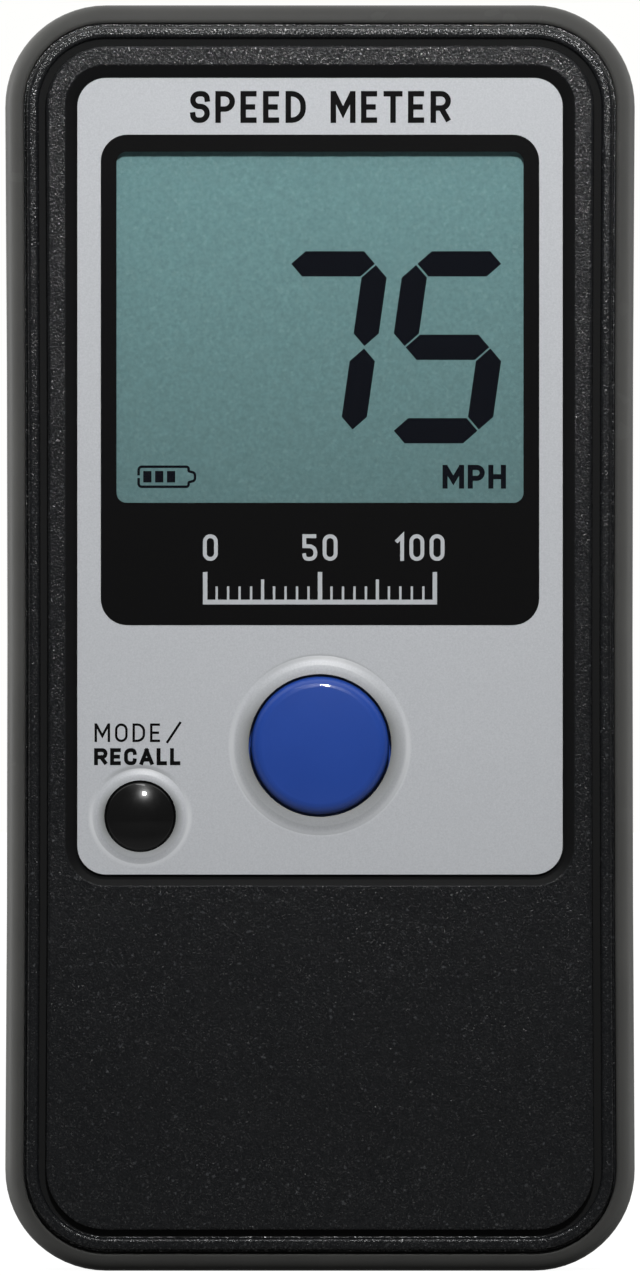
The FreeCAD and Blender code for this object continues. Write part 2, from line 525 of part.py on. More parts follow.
def antenna_patches():
    """Four rows of four square patches, each row strung on a feed line, all from one spine."""
    y0 = ANTENNA_FRONT_Y + ANTENNA_T
    y1 = y0 + PATCH_T
    steps = (-1.5, -0.5, 0.5, 1.5)
    reach = 1.5 * PATCH_PITCH
    metal = [box(-0.25, 0.25, y0, y1, PATCH_Z - reach, PATCH_Z + reach)]
    for j in steps:
        z = PATCH_Z + j * PATCH_PITCH
        metal.append(box(-reach, reach, y0, y1, z - 0.2, z + 0.2))
        for i in steps:
            x = i * PATCH_PITCH
            metal.append(box(x - PATCH_W / 2, x + PATCH_W / 2, y0, y1, z - PATCH_H / 2, z + PATCH_H / 2))
    return metal[0].fuse(metal[1:]).removeSplitter()


def hexagon(across, y, x, z):
    r = across / math.sqrt(3)
    corners = [V(x + r * math.cos(math.radians(60 * k)), y, z + r * math.sin(math.radians(60 * k)))
               for k in range(7)]
    return Part.makePolygon(corners)


def board_standoffs():
    """Hexagonal brass posts with a stud into the main board and a blind hole for the antenna screw."""
    posts = []
    for x, z in STANDOFFS:
        body = prism(hexagon(STANDOFF_ACROSS, BOARD_BACK_Y, x, z), ANTENNA_FRONT_Y)
        body = body.fuse(rod(STANDOFF_STUD_R, x, z, BOARD_FRONT_Y + 0.1, BOARD_BACK_Y)).removeSplitter()
        posts.append(body.cut(rod(STANDOFF_STUD_R, x, z, ANTENNA_FRONT_Y - 3.6, ANTENNA_FRONT_Y + 1)))
    return Part.makeCompound(posts)


def antenna_screws():
    seat = ANTENNA_FRONT_Y + ANTENNA_T
    return Part.makeCompound([cross_screw(x, z, ANTENNA_FRONT_Y - 3.0, seat, STANDOFF_STUD_R - GAP,
                                          1.8, 1.1) for x, z in STANDOFFS])


def header_rods(radius, y0, y1):
    start = -(HEADER_PINS - 1) / 2
    return [rod(radius, (start + i) * HEADER_PITCH, HEADER_Z, y0, y1) for i in range(HEADER_PINS)]


def board_header():
    """The plastic block of the connector between the two boards."""
    half = (HEADER_PINS * HEADER_PITCH + 0.6) / 2
    body = box(-half, half, BOARD_BACK_Y, ANTENNA_FRONT_Y, HEADER_Z - HEADER_H / 2, HEADER_Z + HEADER_H / 2)
    return body.cut(header_rods(HEADER_PIN_R + 0.02, BOARD_BACK_Y - 1, ANTENNA_FRONT_Y + 1))


def header_pins():
    return Part.makeCompound(header_rods(HEADER_PIN_R, BOARD_BACK_Y, ANTENNA_FRONT_Y))


# ---- Batteries and contacts ---------------------------------------------------------------
def cell(x, nub_up):
    """An AAA cell: can, rounded ends and a raised button on its positive end."""
    can = post(CELL_R, x, CELL_Y, 0, CELL_L - NUB_L)
    can = can.makeFillet(0.5, [e for e in can.Edges if e.Length > 2 * math.pi * CELL_R * 0.95
                               and abs(e.BoundBox.ZMax - e.BoundBox.ZMin) < 1e-3])
    nub = post(NUB_R, x, CELL_Y, CELL_L - NUB_L, CELL_L)
    nub = nub.makeFillet(0.3, [e for e in nub.Edges if e.BoundBox.ZMin > CELL_L - 1e-3])
    whole = can.fuse(nub).removeSplitter()
    if nub_up:
        whole.translate(V(0, 0, BAY_TOP_Z - CONTACT_T - DIMPLE_L - CELL_L))
        return whole
    whole.rotate(V(x, CELL_Y, 0), X_AXIS, 180)
    whole.translate(V(0, 0, BAY_LOW_Z + CONTACT_T + DIMPLE_L + CELL_L))
    return whole


def battery_cell_left():
    return cell(-CELL_X, True)


def battery_cell_right():
    return cell(CELL_X, False)


def coil(x, z_seat, up):
    """A conical contact spring that narrows from its seat towards the cell."""
    length = SPRING_L - 2 * SPRING_WIRE_R - 0.1
    steps = int(SPRING_TURNS * 8)
    points = []
    for i in range(steps + 1):
        t = i / steps
        radius = SPRING_WIDE_R + t * (SPRING_NARROW_R - SPRING_WIDE_R)
        angle = 2 * math.pi * SPRING_TURNS * t
        height = SPRING_WIRE_R + 0.02 + length * t
        points.append(V(radius * math.cos(angle), radius * math.sin(angle), height))
    curve = Part.BSplineCurve()
    curve.interpolate(points)
    start = curve.tangent(curve.FirstParameter)[0]
    profile = Part.Wire(Part.makeCircle(SPRING_WIRE_R, points[0], start))
    spring = Part.Wire(curve.toShape()).makePipeShell([profile], True, False)
    if not up:
        spring.rotate(V(0, 0, 0), X_AXIS, 180)
    spring.translate(V(x, CELL_Y, z_seat))
    return spring


def dimple(x, z_plate, direction):
    """A pressed cone on a contact plate that meets a cell's button."""
    return Part.makeCone(DIMPLE_BASE_R, DIMPLE_TIP_R, DIMPLE_L - 0.02, V(x, CELL_Y, z_plate), direction)


def contact_plate(x0, x1, z0):
    return box(x0 - CONTACT_X, x1 + CONTACT_X, CONTACT_FRONT_Y, CONTACT_BACK_Y, z0, z0 + CONTACT_T)


def contact_tab(x):
    """The solder tab that rises through the compartment's top wall."""
    return box(x - TAB_X, x + TAB_X, TAB_FRONT_Y, TAB_FRONT_Y + CONTACT_T, BAY_TOP_Z - CONTACT_T,
               BAY_TOP_Z + BAY_WALL + TAB_L)


def contact_positive():
    z = BAY_TOP_Z - CONTACT_T
    plate = contact_plate(-CELL_X, -CELL_X, z)
    return plate.fuse([dimple(-CELL_X, z, -Z_AXIS), contact_tab(-CELL_X)]).removeSplitter()


def contact_negative():
    plate = contact_plate(CELL_X, CELL_X, BAY_TOP_Z - CONTACT_T)
    return plate.fuse(contact_tab(CELL_X)).removeSplitter()


def contact_bridge():
    plate = contact_plate(-CELL_X, CELL_X, BAY_LOW_Z)
    return plate.fuse(dimple(CELL_X, BAY_LOW_Z + CONTACT_T, Z_AXIS)).removeSplitter()


def battery_springs():
    return Part.makeCompound([coil(-CELL_X, BAY_LOW_Z + CONTACT_T, True),
                              coil(CELL_X, BAY_TOP_Z - CONTACT_T, False)])


def lead(x_tab, x_pad):
    """An insulated wire from a contact tab to its pad on the main board."""
    z_tab = BAY_TOP_Z + BAY_WALL + 1.6
    points = [V(x_tab, 1.5, z_tab), V((x_tab + x_pad) / 2, 2.4, z_tab + 2.4),
              V(x_pad, BOARD_BACK_Y + GAP, z_tab + 1.4)]
    curve = Part.BSplineCurve()
    curve.interpolate(Points=points, InitialTangent=Y_AXIS * 2, FinalTangent=Y_AXIS * -6)
    profile = Part.Wire(Part.makeCircle(LEAD_R, points[0], Y_AXIS))
    return Part.Wire(curve.toShape()).makePipeShell([profile], True, True)


def battery_lead_positive():
    return lead(-CELL_X, LEAD_PLUS_PAD_X)


def battery_lead_negative():
    return lead(CELL_X, LEAD_MINUS_PAD_X)


# ---- Fasteners and label ------------------------------------------------------------------
def case_screw(x, z, seat_y):
    head = rod(SCREW_HEAD_R, x, z, seat_y, seat_y + SCREW_HEAD_T)
    head = head.makeFillet(0.6, edges_in_plane(head, seat_y + SCREW_HEAD_T))
    shank = rod(SCREW_R, x, z, seat_y - SCREW_L + 1.4, seat_y)
    tip = Part.makeCone(SCREW_R, 0.3, 1.4, V(x, seat_y - SCREW_L + 1.4, z), -Y_AXIS)
    slot = box(x - 1.25, x + 1.25, seat_y + 0.6, seat_y + 3, z - 0.25, z + 0.25)
    screw = head.fuse([shank, tip]).removeSplitter()
    return screw.cut([slot, slot.rotated(V(x, 0, z), Y_AXIS, 90)])


def case_screws():
    return Part.makeCompound([case_screw(x, z, seat_y) for x, z, seat_y, _ in CASE_SCREWS])


def rear_label():
    return slab(LABEL_W, LABEL_H, 2.5, BACK_Y - 0.25, BACK_Y - 0.25 + LABEL_T, LABEL_Z)


PARTS = {
    "front_housing": front_housing,
    "rear_housing": rear_housing,
    "battery_door": battery_door,
    "face_overlay": face_overlay,
    "window_lens": window_lens,
    "display_gasket": display_gasket,
    "lcd_front_glass": lcd_front_glass,
    "lcd_back_panel": lcd_back_panel,
    "lcd_frame": lcd_frame,
    "zebra_strip": zebra_strip,
    "fire_button": lambda: button_cap(FIRE),
    "fire_switch_body": lambda: switch_body(FIRE),
    "fire_switch_stem": lambda: switch_stem(FIRE),
    "mode_button": lambda: button_cap(MODE),
    "mode_switch_body": lambda: switch_body(MODE),
    "mode_switch_stem": lambda: switch_stem(MODE),
    "main_board": main_board,
    "board_screws": board_screws,
    "processor_chip": processor_chip,
    "power_chip": power_chip,
    "crystal_can": crystal_can,
    "power_inductor": power_inductor,
    "bulk_capacitor": bulk_capacitor,
    "smd_capacitors": smd_capacitors,
    "smd_resistors": smd_resistors,
    "rf_shield": rf_shield,
    "radar_chip": radar_chip,
    "antenna_board": antenna_board,
    "antenna_patches": antenna_patches,
    "antenna_screws": antenna_screws,
    "board_standoffs": board_standoffs,
    "board_header": board_header,
    "header_pins": header_pins,
    "battery_cell_left": battery_cell_left,
    "battery_cell_right": battery_cell_right,
    "contact_positive": contact_positive,
    "contact_negative": contact_negative,
    "contact_bridge": contact_bridge,
    "battery_springs": battery_springs,
    "battery_lead_positive": battery_lead_positive,
    "battery_lead_negative": battery_lead_negative,
    "case_screws": case_screws,
    "rear_label": rear_label,
}

os.makedirs("parts", exist_ok=True)
for name, make in PARTS.items():
    shape = make()
    assert shape.isValid() and shape.Volume > 0, name
    shape.exportStep(f"parts/{name}.step")
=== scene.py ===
"""Looks of a pocket-size speed radar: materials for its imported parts, the print on its face,
the display's symbols, and a plain pale studio. Metres, in the part's own frame."""

import bpy
import bmesh
import json
import math
from mathutils import Matrix, Vector


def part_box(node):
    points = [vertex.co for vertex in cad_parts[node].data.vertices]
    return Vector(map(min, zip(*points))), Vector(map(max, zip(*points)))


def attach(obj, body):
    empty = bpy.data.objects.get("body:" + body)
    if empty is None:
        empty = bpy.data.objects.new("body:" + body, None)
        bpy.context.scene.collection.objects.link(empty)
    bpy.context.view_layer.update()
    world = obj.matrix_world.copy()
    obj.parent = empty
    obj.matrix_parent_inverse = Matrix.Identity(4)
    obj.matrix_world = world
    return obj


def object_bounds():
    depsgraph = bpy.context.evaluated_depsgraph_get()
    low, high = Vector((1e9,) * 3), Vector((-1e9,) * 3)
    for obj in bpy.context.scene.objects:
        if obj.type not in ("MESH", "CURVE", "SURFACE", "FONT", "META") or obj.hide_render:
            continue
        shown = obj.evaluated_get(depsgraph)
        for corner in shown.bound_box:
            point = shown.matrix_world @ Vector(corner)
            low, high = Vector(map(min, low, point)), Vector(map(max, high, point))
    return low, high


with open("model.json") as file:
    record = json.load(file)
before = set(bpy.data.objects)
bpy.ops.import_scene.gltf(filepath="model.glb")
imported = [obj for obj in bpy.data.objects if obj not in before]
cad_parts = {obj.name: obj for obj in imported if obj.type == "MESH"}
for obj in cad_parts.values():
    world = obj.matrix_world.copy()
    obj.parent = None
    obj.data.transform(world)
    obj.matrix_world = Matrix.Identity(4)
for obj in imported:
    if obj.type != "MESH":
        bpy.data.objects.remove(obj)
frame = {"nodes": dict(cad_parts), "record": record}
CAD_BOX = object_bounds()
MM = 0.001

# ---- Places taken from the frame ----------------------------------------------------------
SHEET_BACK_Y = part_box("face_overlay")[1].y
LENS_LOW, LENS_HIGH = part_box("window_lens")
PANEL_LOW, PANEL_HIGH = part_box("lcd_back_panel")
FIRE_LOW, FIRE_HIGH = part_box("fire_button")
MODE_LOW, MODE_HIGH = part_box("mode_button")
LABEL_LOW, LABEL_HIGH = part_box("rear_label")
SHEET_T = 0.4 * MM
SHEET_Y = SHEET_BACK_Y - SHEET_T
WINDOW_MID = (LENS_LOW + LENS_HIGH) / 2

# ---- Print and display sizes, in millimetres ----------------------------------------------
INK_T = 0.015
STAGGER, STAGGER_STEPS = 0.0004, 40  # each flat shape of a piece lies a hair in front of the last
BORDER_W, BORDER_LOW, BORDER_TOP, BORDER_R = 41.2, 60.7, 106.8, 2.5
WINDOW_R, WINDOW_MARGIN = 0.95, 0.02
SCALE_Z, SCALE_SPAN, SCALE_STEPS, SCALE_LINE = 63.1, 22.0, 20, 0.45
SCALE_TEXT_Z, SCALE_TEXT_H, SCALE_TEXT_STROKE = 68.0, 2.5, 0.36
SCALE_FIRST_INSET, SCALE_LAST_INSET = 0.7, 1.6  # from the ends of the scale to its end numbers

# Each line of print is (name, text, cap height, stroke, middle x, middle z, gap, squeeze). The gap
# is a share of the height, and the squeeze scales the width of the letters.
PRINT_LINES = (
    ("print_title", "SPEED METER", 3.0, 0.52, 0.05, 109.4, 0.17, 1.03),
    ("print_mode", "MODE/", 1.75, 0.23, -17.08, 50.6, 0.26, 1.1),
    ("print_recall", "RECALL", 1.6, 0.37, -17.15, 48.35, 0.15, 1.28),
)
UNIT_H, UNIT_STROKE, UNIT_X, UNIT_Z, UNIT_GAP, UNIT_SQUEEZE = 2.23, 0.48, 14.5, 74.66, 0.15, 1.2

LABEL_ROWS, LABEL_MARGIN, LABEL_R, LABEL_LINE = 5, 1.4, 1.6, 0.3
ROW_INDENT, ROW_LINE = 1.5, 0.2

DIGIT_H, DIGIT_W, SEGMENT_T, SEGMENT_GAP = 18.06, 10.46, 2.37, 0.16
DIGIT_PITCH, DIGIT_SLANT = 11.87, 0.142
DIGIT_LEFT, DIGIT_LOW = 5.47, 77.8
CHARGE_X, CHARGE_Z = (-17.05, -12.35, -11.75), (73.72, 75.6)  # body left, body right, nub; low, high
CHARGE_STROKE, CHARGE_BREAK, NUB_FOOT, NUB_TOP = 0.24, 0.12, 0.52, 0.36
BAR_COUNT, BAR_W, BAR_PITCH, BAR_INDENT = 3, 0.78, 1.115, (0.43, 0.4)
FILM_Y, FILM_T, FILM_MARGIN = -0.008, 0.006, 0.2  # in front of the panel, before the symbols
SYMBOL_Y, SYMBOL_T = -0.022, 0.012

# ---- Where the tone of the front changes, in millimetres ------------------------------------
# The black plastic is grained in front of GRAIN_Y and outside RIB_FOOT, and smooth inside
# RECESS_MOUTH. Both outlines are (half width, half height, middle z, corner radius).
GRAIN_Y = -9.25
RIB_FOOT = (26.45, 56.35, 59.5, 6.35)
RECESS_MOUTH = (23.95, 38.575, 74.775, 3.85)
WORN_FROM, WORN_FULL = 104.0, 114.0  # heights between which the rib's top grows shinier
# Radii of the holes round the two buttons and of the outer edges of their collars, where highlight and
# shade are painted, and half the width of that painted edge.
FIRE_HOLE, MODE_HOLE = 6.75, 3.42
FIRE_CROWN, MODE_CROWN, CROWN_EDGE = 8.3, 4.6, 0.36
SHADE_REACH = 1.21  # painted shade round a button ends at this multiple of the hole's radius
FADE_HALF = 16.5  # the display's painted shade deepens downwards over twice this height
CELL_LOW, CELL_TOP, CELL_BAND, CELL_NUB = 6.6, 55.0, 9.0, 1.0

# ---- Light and camera, in metres and watts ------------------------------------------------
KEY_PLACE = (0.012, -0.264, 0.209)
KEY_SIZE = (0.024, 0.022)
KEY_POWER = 0.66
STRIP_PLACE = (-0.045, -0.256, 0.284)
STRIP_SIZE, STRIP_POWER = (0.13, 0.012), 0.04
LIGHT_AIM = (0.0, 0.0, 0.05)
# The world's light: an even level, and lobes as (direction, cosine where it starts, cosine where
# it is full, strength).
WORLD_FRONT = 0.11
WORLD_LOBES = (((-0.75, 0.66, 0), 0.60, 0.95, 1.0), ((0.75, 0.66, 0), 0.60, 0.95, 0.5),
               ((0, 0.5, 1), 0.2, 0.8, 1.3), ((0, 1, 0.2), 0.1, 0.8, 0.6))
WORLD_WHITE = (1.0, 1.0, 0.985, 1.0)
RIM_LIGHTS = ((-0.49, 6.5), (0.49, 3.5))  # x, power
RIM_Y, RIM_Z, RIM_SIZE = 0.01, 0.06, (0.12, 0.5)
RIM_LIT = ("rear_housing", "battery_door", "case_screws", "rear_label")
FLOOR_HALF, FLOOR_GREY, FLOOR_GLOW, MIRRORED_GLOW = 6.0, 0.09, (0.95, 0.97), 0.28
GLOW_NEAR, GLOW_FAR = 0.03, 0.08  # the floor's mirrored glow fades between these distances
EDGE_SPACE = 0.00423  # bare space above and below the case, as a share of its height
LENS, SENSOR = 800.0, 36.0
RIM_DEPTH = 3.4 * MM  # from the front of the part to the widest outline of the case


# ---- Shader building ----------------------------------------------------------------------
class Tree:
    """Builds one material's nodes. Inputs are given by name, as numbers, colours or sockets."""

    def __init__(self, name):
        self.material = bpy.data.materials.new(name)
        self.material.use_nodes = True
        self.nodes = self.material.node_tree.nodes
        self.links = self.material.node_tree.links
        self.nodes.clear()
        self.output = self.nodes.new("ShaderNodeOutputMaterial")
        self.where = self.add("ShaderNodeTexCoord").outputs["Object"]

    def add(self, kind, settings=None, **inputs):
        """A new node. An underscore in an input's name stands for a space."""
        node = self.nodes.new(kind)
        for key, value in (settings or {}).items():
            setattr(node, key, value)
        for key, value in inputs.items():
            self.put(node.inputs[key.replace("_", " ")], value)
        return node

    def put(self, socket, value):
        """Gives an input its link, colour or number."""
        if isinstance(value, bpy.types.NodeSocket):
            self.links.new(value, socket)
        elif isinstance(value, tuple) and len(value) == 3 and socket.type == "RGBA":
            socket.default_value = (*value, 1.0)
        else:
            socket.default_value = value

    def noise(self, size_mm, detail=3.0, rough=0.6):
        """Cloudy noise from 0 to 1 with features about size_mm across."""
        node = self.add("ShaderNodeTexNoise", Vector=self.where, Scale=1000.0 / size_mm,
                        Detail=detail, Roughness=rough)
        return node.outputs["Fac"]

    def cells(self, size_mm):
        """Distance to the nearest of scattered points about size_mm apart."""
        node = self.add("ShaderNodeTexVoronoi", Vector=self.where, Scale=1000.0 / size_mm)
        return node.outputs["Distance"]

    def specks(self, size_mm, share):
        """1 on a scattered share of small cells and 0 elsewhere."""
        node = self.add("ShaderNodeTexVoronoi", Vector=self.where, Scale=1000.0 / size_mm)
        channel = self.add("ShaderNodeSeparateColor", Color=node.outputs["Color"]).outputs[0]
        return self.spread(channel, 1.0 - share, 1.0 - share * 0.6, 0.0, 1.0)

    def spread(self, value, low, high, out_low, out_high):
        """Maps low..high to out_low..out_high, held at the ends."""
        node = self.add("ShaderNodeMapRange", Value=value, From_Min=low, From_Max=high,
                        To_Min=out_low, To_Max=out_high)
        return node.outputs["Result"]

    def mix(self, factor, first, second):
        """Mixes two colours."""
        node = self.add("ShaderNodeMix", {"data_type": "RGBA"})
        self.put(node.inputs[0], factor)
        self.put(node.inputs[6], first)
        self.put(node.inputs[7], second)
        return node.outputs[2]

    def math(self, operation, first, second=0.0):
        """One arithmetic step."""
        node = self.add("ShaderNodeMath", {"operation": operation})
        self.put(node.inputs[0], first)
        self.put(node.inputs[1], second)
        return node.outputs[0]

    def axis(self, index):
        """One coordinate of the place being shaded, in metres."""
        return self.add("ShaderNodeSeparateXYZ", Vector=self.where).outputs[index]

    def bump(self, height, depth_mm, strength):
        """The surface normal, tilted by a height map."""
        node = self.add("ShaderNodeBump", Height=height, Distance=depth_mm * MM, Strength=strength)
        return node.outputs["Normal"]

    def length(self, x, y):
        """Length of a flat vector."""
        flat = self.add("ShaderNodeCombineXYZ", X=x, Y=y).outputs[0]
        return self.add("ShaderNodeVectorMath", {"operation": "LENGTH"}, Vector=flat).outputs["Value"]

    def finish(self, shader):
        """Joins the last shader to the output and returns the material."""
        self.links.new(shader.outputs[0], self.output.inputs["Surface"])
        return self.material

    def solid(self, **inputs):
        """Ends the tree with one principled surface."""
        return self.finish(self.add("ShaderNodeBsdfPrincipled", **inputs))


def grey(value):
    """A neutral colour."""
    return (value, value, value)


# ---- Materials ----------------------------------------------------------------------------
def outside(t, shape):
    """1 outside a rounded rectangle in the plane of the face and 0 inside it."""
    half_x, half_z, mid_z, radius = (v * MM for v in shape)
    past_x = t.math("SUBTRACT", t.math("ABSOLUTE", t.axis(0)), half_x - radius)
    up = t.math("SUBTRACT", t.axis(2), mid_z)
    past_z = t.math("SUBTRACT", t.math("ABSOLUTE", up), half_z - radius)
    length = t.length(t.math("MAXIMUM", past_x, 0.0), t.math("MAXIMUM", past_z, 0.0))
    return t.spread(length, radius - 0.10 * MM, radius + 0.03 * MM, 0.0, 1.0)


def textured_plastic():
    """Black plastic from a spark-eroded mould, sparkling on its grain and worn along the top of the rib.
    The groove and the recess walls are smooth, and the groove is painted a lighter black to lift the shade
    inside it."""
    t = Tree("textured_plastic")
    raised = t.spread(t.axis(1), (GRAIN_Y - 0.06) * MM, (GRAIN_Y + 0.06) * MM, 1.0, 0.0)
    rib = outside(t, RIB_FOOT)
    beyond_recess = outside(t, RECESS_MOUTH)
    grained = t.math("MULTIPLY", t.math("MAXIMUM", raised, rib), beyond_recess)
    grain = t.noise(0.21, 3.0, 0.65)
    cloud = t.noise(6.0, 2.0)
    glint = t.math("MULTIPLY", t.specks(0.16, 0.20), grained)
    base = t.mix(t.spread(grain, 0.38, 0.68, 0.0, 1.0),
                 (0.0068, 0.0073, 0.0082), (0.0110, 0.0117, 0.0129))
    base = t.mix(t.specks(0.20, 0.012), base, (0.040, 0.042, 0.045))
    # Painted light: the groove beyond the recess mouth is a lighter black than the recess walls, to lift
    # the shade inside it.
    smooth = t.mix(beyond_recess, (0.0085, 0.0087, 0.0090), (0.0144, 0.0146, 0.0148))
    base = t.mix(grained, smooth, base)
    rough = t.math("ADD", t.spread(grain, 0.3, 0.75, 0.20, 0.28),
                   t.spread(cloud, 0.3, 0.7, -0.02, 0.02))
    rough = t.math("SUBTRACT", rough, t.spread(grained, 0.0, 1.0, 0.12, 0.0))
    height = t.math("MULTIPLY", t.math("ADD", grain, t.math("MULTIPLY", t.cells(0.19), 0.5)), grained)
    worn = t.math("MULTIPLY", rib, t.spread(t.axis(2), WORN_FROM * MM, WORN_FULL * MM, 0.0, 1.0))
    shine = t.mix(grained, grey(0.05), t.mix(worn, grey(0.20), grey(0.43)))
    shine = t.mix(glint, shine, grey(0.5))
    sparkle = t.spread(t.noise(0.13, 1.0), 0.38, 0.64, 0.40, 1.50)
    shine = t.math("MULTIPLY", shine, t.math("MAXIMUM", sparkle, t.math("SUBTRACT", 1.0, grained)))
    return t.solid(Base_Color=base, Roughness=rough, Specular_IOR_Level=shine,
                   Normal=t.bump(height, 0.045, 1.0))


def smooth_plastic():
    """Dark grey satin plastic with a very fine grain and a few faint scuffs."""
    t = Tree("smooth_plastic")
    grain = t.noise(0.12, 2.0)
    cloud = t.noise(9.0, 3.0)
    base = t.mix(t.spread(cloud, 0.3, 0.7, 0.0, 1.0), (0.053, 0.053, 0.051), (0.060, 0.060, 0.0575))
    scuffs = t.specks(1.1, 0.03)
    base = t.mix(t.math("MULTIPLY", scuffs, 0.2), base, (0.085, 0.085, 0.082))
    rough = t.math("ADD", t.spread(cloud, 0.3, 0.7, 0.46, 0.52), t.math("MULTIPLY", scuffs, 0.08))
    return t.solid(Base_Color=base, Roughness=rough, Specular_IOR_Level=0.07,
                   Normal=t.bump(grain, 0.006, 0.5))


def round_button(t, low, high):
    """(distance from a button's axis, share of that distance that points up the sheet)."""
    middle = (low + high) / 2
    across = t.math("SUBTRACT", t.axis(0), middle.x)
    up = t.math("SUBTRACT", t.axis(2), middle.z)
    length = t.length(across, up)
    return length, t.math("DIVIDE", up, length)


def painted_button_shade(t, length, rise, hole, grain):
    """How much painted shade lies beside and below a button: darkest against its hole, where the button's
    shadow falls.
    """
    near_hole = t.spread(length, hole * MM, hole * MM * SHADE_REACH, 1.0, 0.0)
    angle = t.math("MULTIPLY", t.spread(rise, 0.3, 1.0, 1.0, 0.0),
                   t.spread(rise, -1.0, -0.4, 0.62, 1.0))
    return t.math("MULTIPLY", t.math("MULTIPLY", near_hole, angle), t.spread(grain, 0.2, 0.8, 0.72, 0.86))


def painted_collar_light(t, base, length, rise, crown):
    """The collar's outer edge: a painted highlight beside and below the button and painted shade above it,
    standing in for how light falls on the flank.
    """
    edge = t.spread(t.math("ABSOLUTE", t.math("SUBTRACT", length, crown * MM)),
                    0.1 * MM, CROWN_EDGE * MM, 1.0, 0.0)
    painted_bright = t.math("MULTIPLY", t.spread(rise, 0.0, 0.6, 1.0, 0.0),
                    t.spread(rise, -0.9, -0.2, 0.5, 1.0))
    painted_dark = t.spread(rise, 0.65, 1.0, 0.0, 1.0)
    # Painted highlight on the collar's edge beside and below the button, then painted shade on it above
    # the button.
    base = t.mix(t.math("MULTIPLY", edge, painted_bright), base, (0.585, 0.60, 0.62))
    return t.mix(t.math("MULTIPLY", edge, painted_dark), base, (0.32, 0.33, 0.345))


def silver_sheet():
    """Printed satin-silver sheet with a very fine metallic grain, with painted highlights and painted
    shade round its buttons."""
    t = Tree("silver_sheet")
    grain = t.noise(0.16, 3.0, 0.7)
    cloud = t.noise(7.0, 2.0)
    base = t.mix(t.spread(grain, 0.3, 0.7, 0.0, 1.0), (0.43, 0.445, 0.47), (0.52, 0.535, 0.56))
    base = t.mix(t.spread(cloud, 0.3, 0.7, 0.0, 0.10), base, (0.42, 0.435, 0.46))
    for low, high, hole, crown in ((FIRE_LOW, FIRE_HIGH, FIRE_HOLE, FIRE_CROWN),
                                   (MODE_LOW, MODE_HIGH, MODE_HOLE, MODE_CROWN)):
        length, rise = round_button(t, low, high)
        base = painted_collar_light(t, base, length, rise, crown)
        # Painted shade beside and below each button, standing in for the shadow the button casts on its
        # collar.
        base = t.mix(painted_button_shade(t, length, rise, hole, grain), base, (0.115, 0.120, 0.110))
    return t.solid(Base_Color=base, Roughness=t.spread(grain, 0.3, 0.7, 0.38, 0.46),
                   Normal=t.bump(grain, 0.008, 0.4))


def black_ink():
    """Satin black print."""
    t = Tree("black_ink")
    grain = t.noise(0.2, 3.0)
    base = t.mix(grain, (0.0040, 0.0040, 0.0042), (0.0062, 0.0062, 0.0064))
    return t.solid(Base_Color=base, Roughness=t.spread(grain, 0.3, 0.7, 0.19, 0.24),
                   Specular_IOR_Level=0.10, Normal=t.bump(grain, 0.003, 0.3))


def silver_ink():
    """Matt silver print."""
    t = Tree("silver_ink")
    grain = t.noise(0.18, 3.0)
    base = t.mix(grain, (0.40, 0.42, 0.44), (0.47, 0.49, 0.51))
    return t.solid(Base_Color=base, Roughness=0.45, Normal=t.bump(grain, 0.004, 0.3))


def clear_pane(name, tint, rough):
    """A clear sheet that passes light straight through and mirrors by angle."""
    t = Tree(name)
    smear = t.noise(11.0, 3.0)
    clear = t.add("ShaderNodeBsdfTransparent", Color=tint)
    mirror = t.add("ShaderNodeBsdfGlossy", Color=grey(1.0),
                   Roughness=t.spread(smear, 0.3, 0.7, rough, rough + 0.05))
    share = t.add("ShaderNodeFresnel", IOR=1.45).outputs[0]
    return t.finish(join(t, t.math("MULTIPLY", share, 0.25), clear, mirror))


def join(t, factor, first, second):
    """Mixes two shaders."""
    node = t.add("ShaderNodeMixShader")
    t.put(node.inputs[0], factor)
    t.links.new(first.outputs[0], node.inputs[1])
    t.links.new(second.outputs[0], node.inputs[2])
    return node


def display_panel():
    """The display's grey-green reflector: a fine sparkle, and a painted shade that darkens it towards its
    lower edge.
    """
    t = Tree("display_panel")
    grain = t.noise(0.42, 2.0, 0.7)
    patch = t.noise(0.9, 3.0)
    base = t.mix(t.spread(grain, 0.25, 0.75, 0.0, 1.0), (0.138, 0.263, 0.283), (0.206, 0.363, 0.381))
    base = t.mix(t.spread(patch, 0.3, 0.7, 0.0, 0.34), base, (0.142, 0.237, 0.250))
    base = t.mix(t.math("MULTIPLY", t.specks(0.30, 0.08), 0.07), base, (0.50, 0.68, 0.66))
    # Painted shade: the reflector darkens towards its lower edge.
    low, high = WINDOW_MID.z - FADE_HALF * MM, WINDOW_MID.z + FADE_HALF * MM
    base = t.mix(t.spread(t.axis(2), low, high, 0.33, 0.0), base, (0.03, 0.03, 0.03))
    return t.solid(Base_Color=base, Roughness=0.55, IOR=1.3, Normal=t.bump(grain, 0.01, 0.4))


def display_ink():
    """The near-black of a switched-on display segment."""
    t = Tree("display_ink")
    grain = t.noise(0.25, 2.0)
    base = t.mix(grain, (0.0020, 0.0026, 0.0060), (0.0036, 0.0042, 0.0084))
    return t.solid(Base_Color=base, Roughness=0.6, IOR=1.1, Normal=t.bump(grain, 0.003, 0.2))


def glossy_plastic(name, dark, light, rough, coat):
    """Polished coloured plastic with faint handling marks."""
    t = Tree(name)
    cloud = t.noise(3.5, 3.0)
    scratch = t.noise(0.5, 5.0, 0.75)
    base = t.mix(t.spread(cloud, 0.3, 0.7, 0.0, 1.0), dark, light)
    finish = t.spread(scratch, 0.35, 0.75, rough, rough + 0.07)
    return t.solid(Base_Color=base, Roughness=finish, Specular_IOR_Level=0.15, Coat_Weight=coat,
                   Coat_Roughness=0.03, Normal=t.bump(t.noise(1.6, 2.0), 0.003, 0.25))


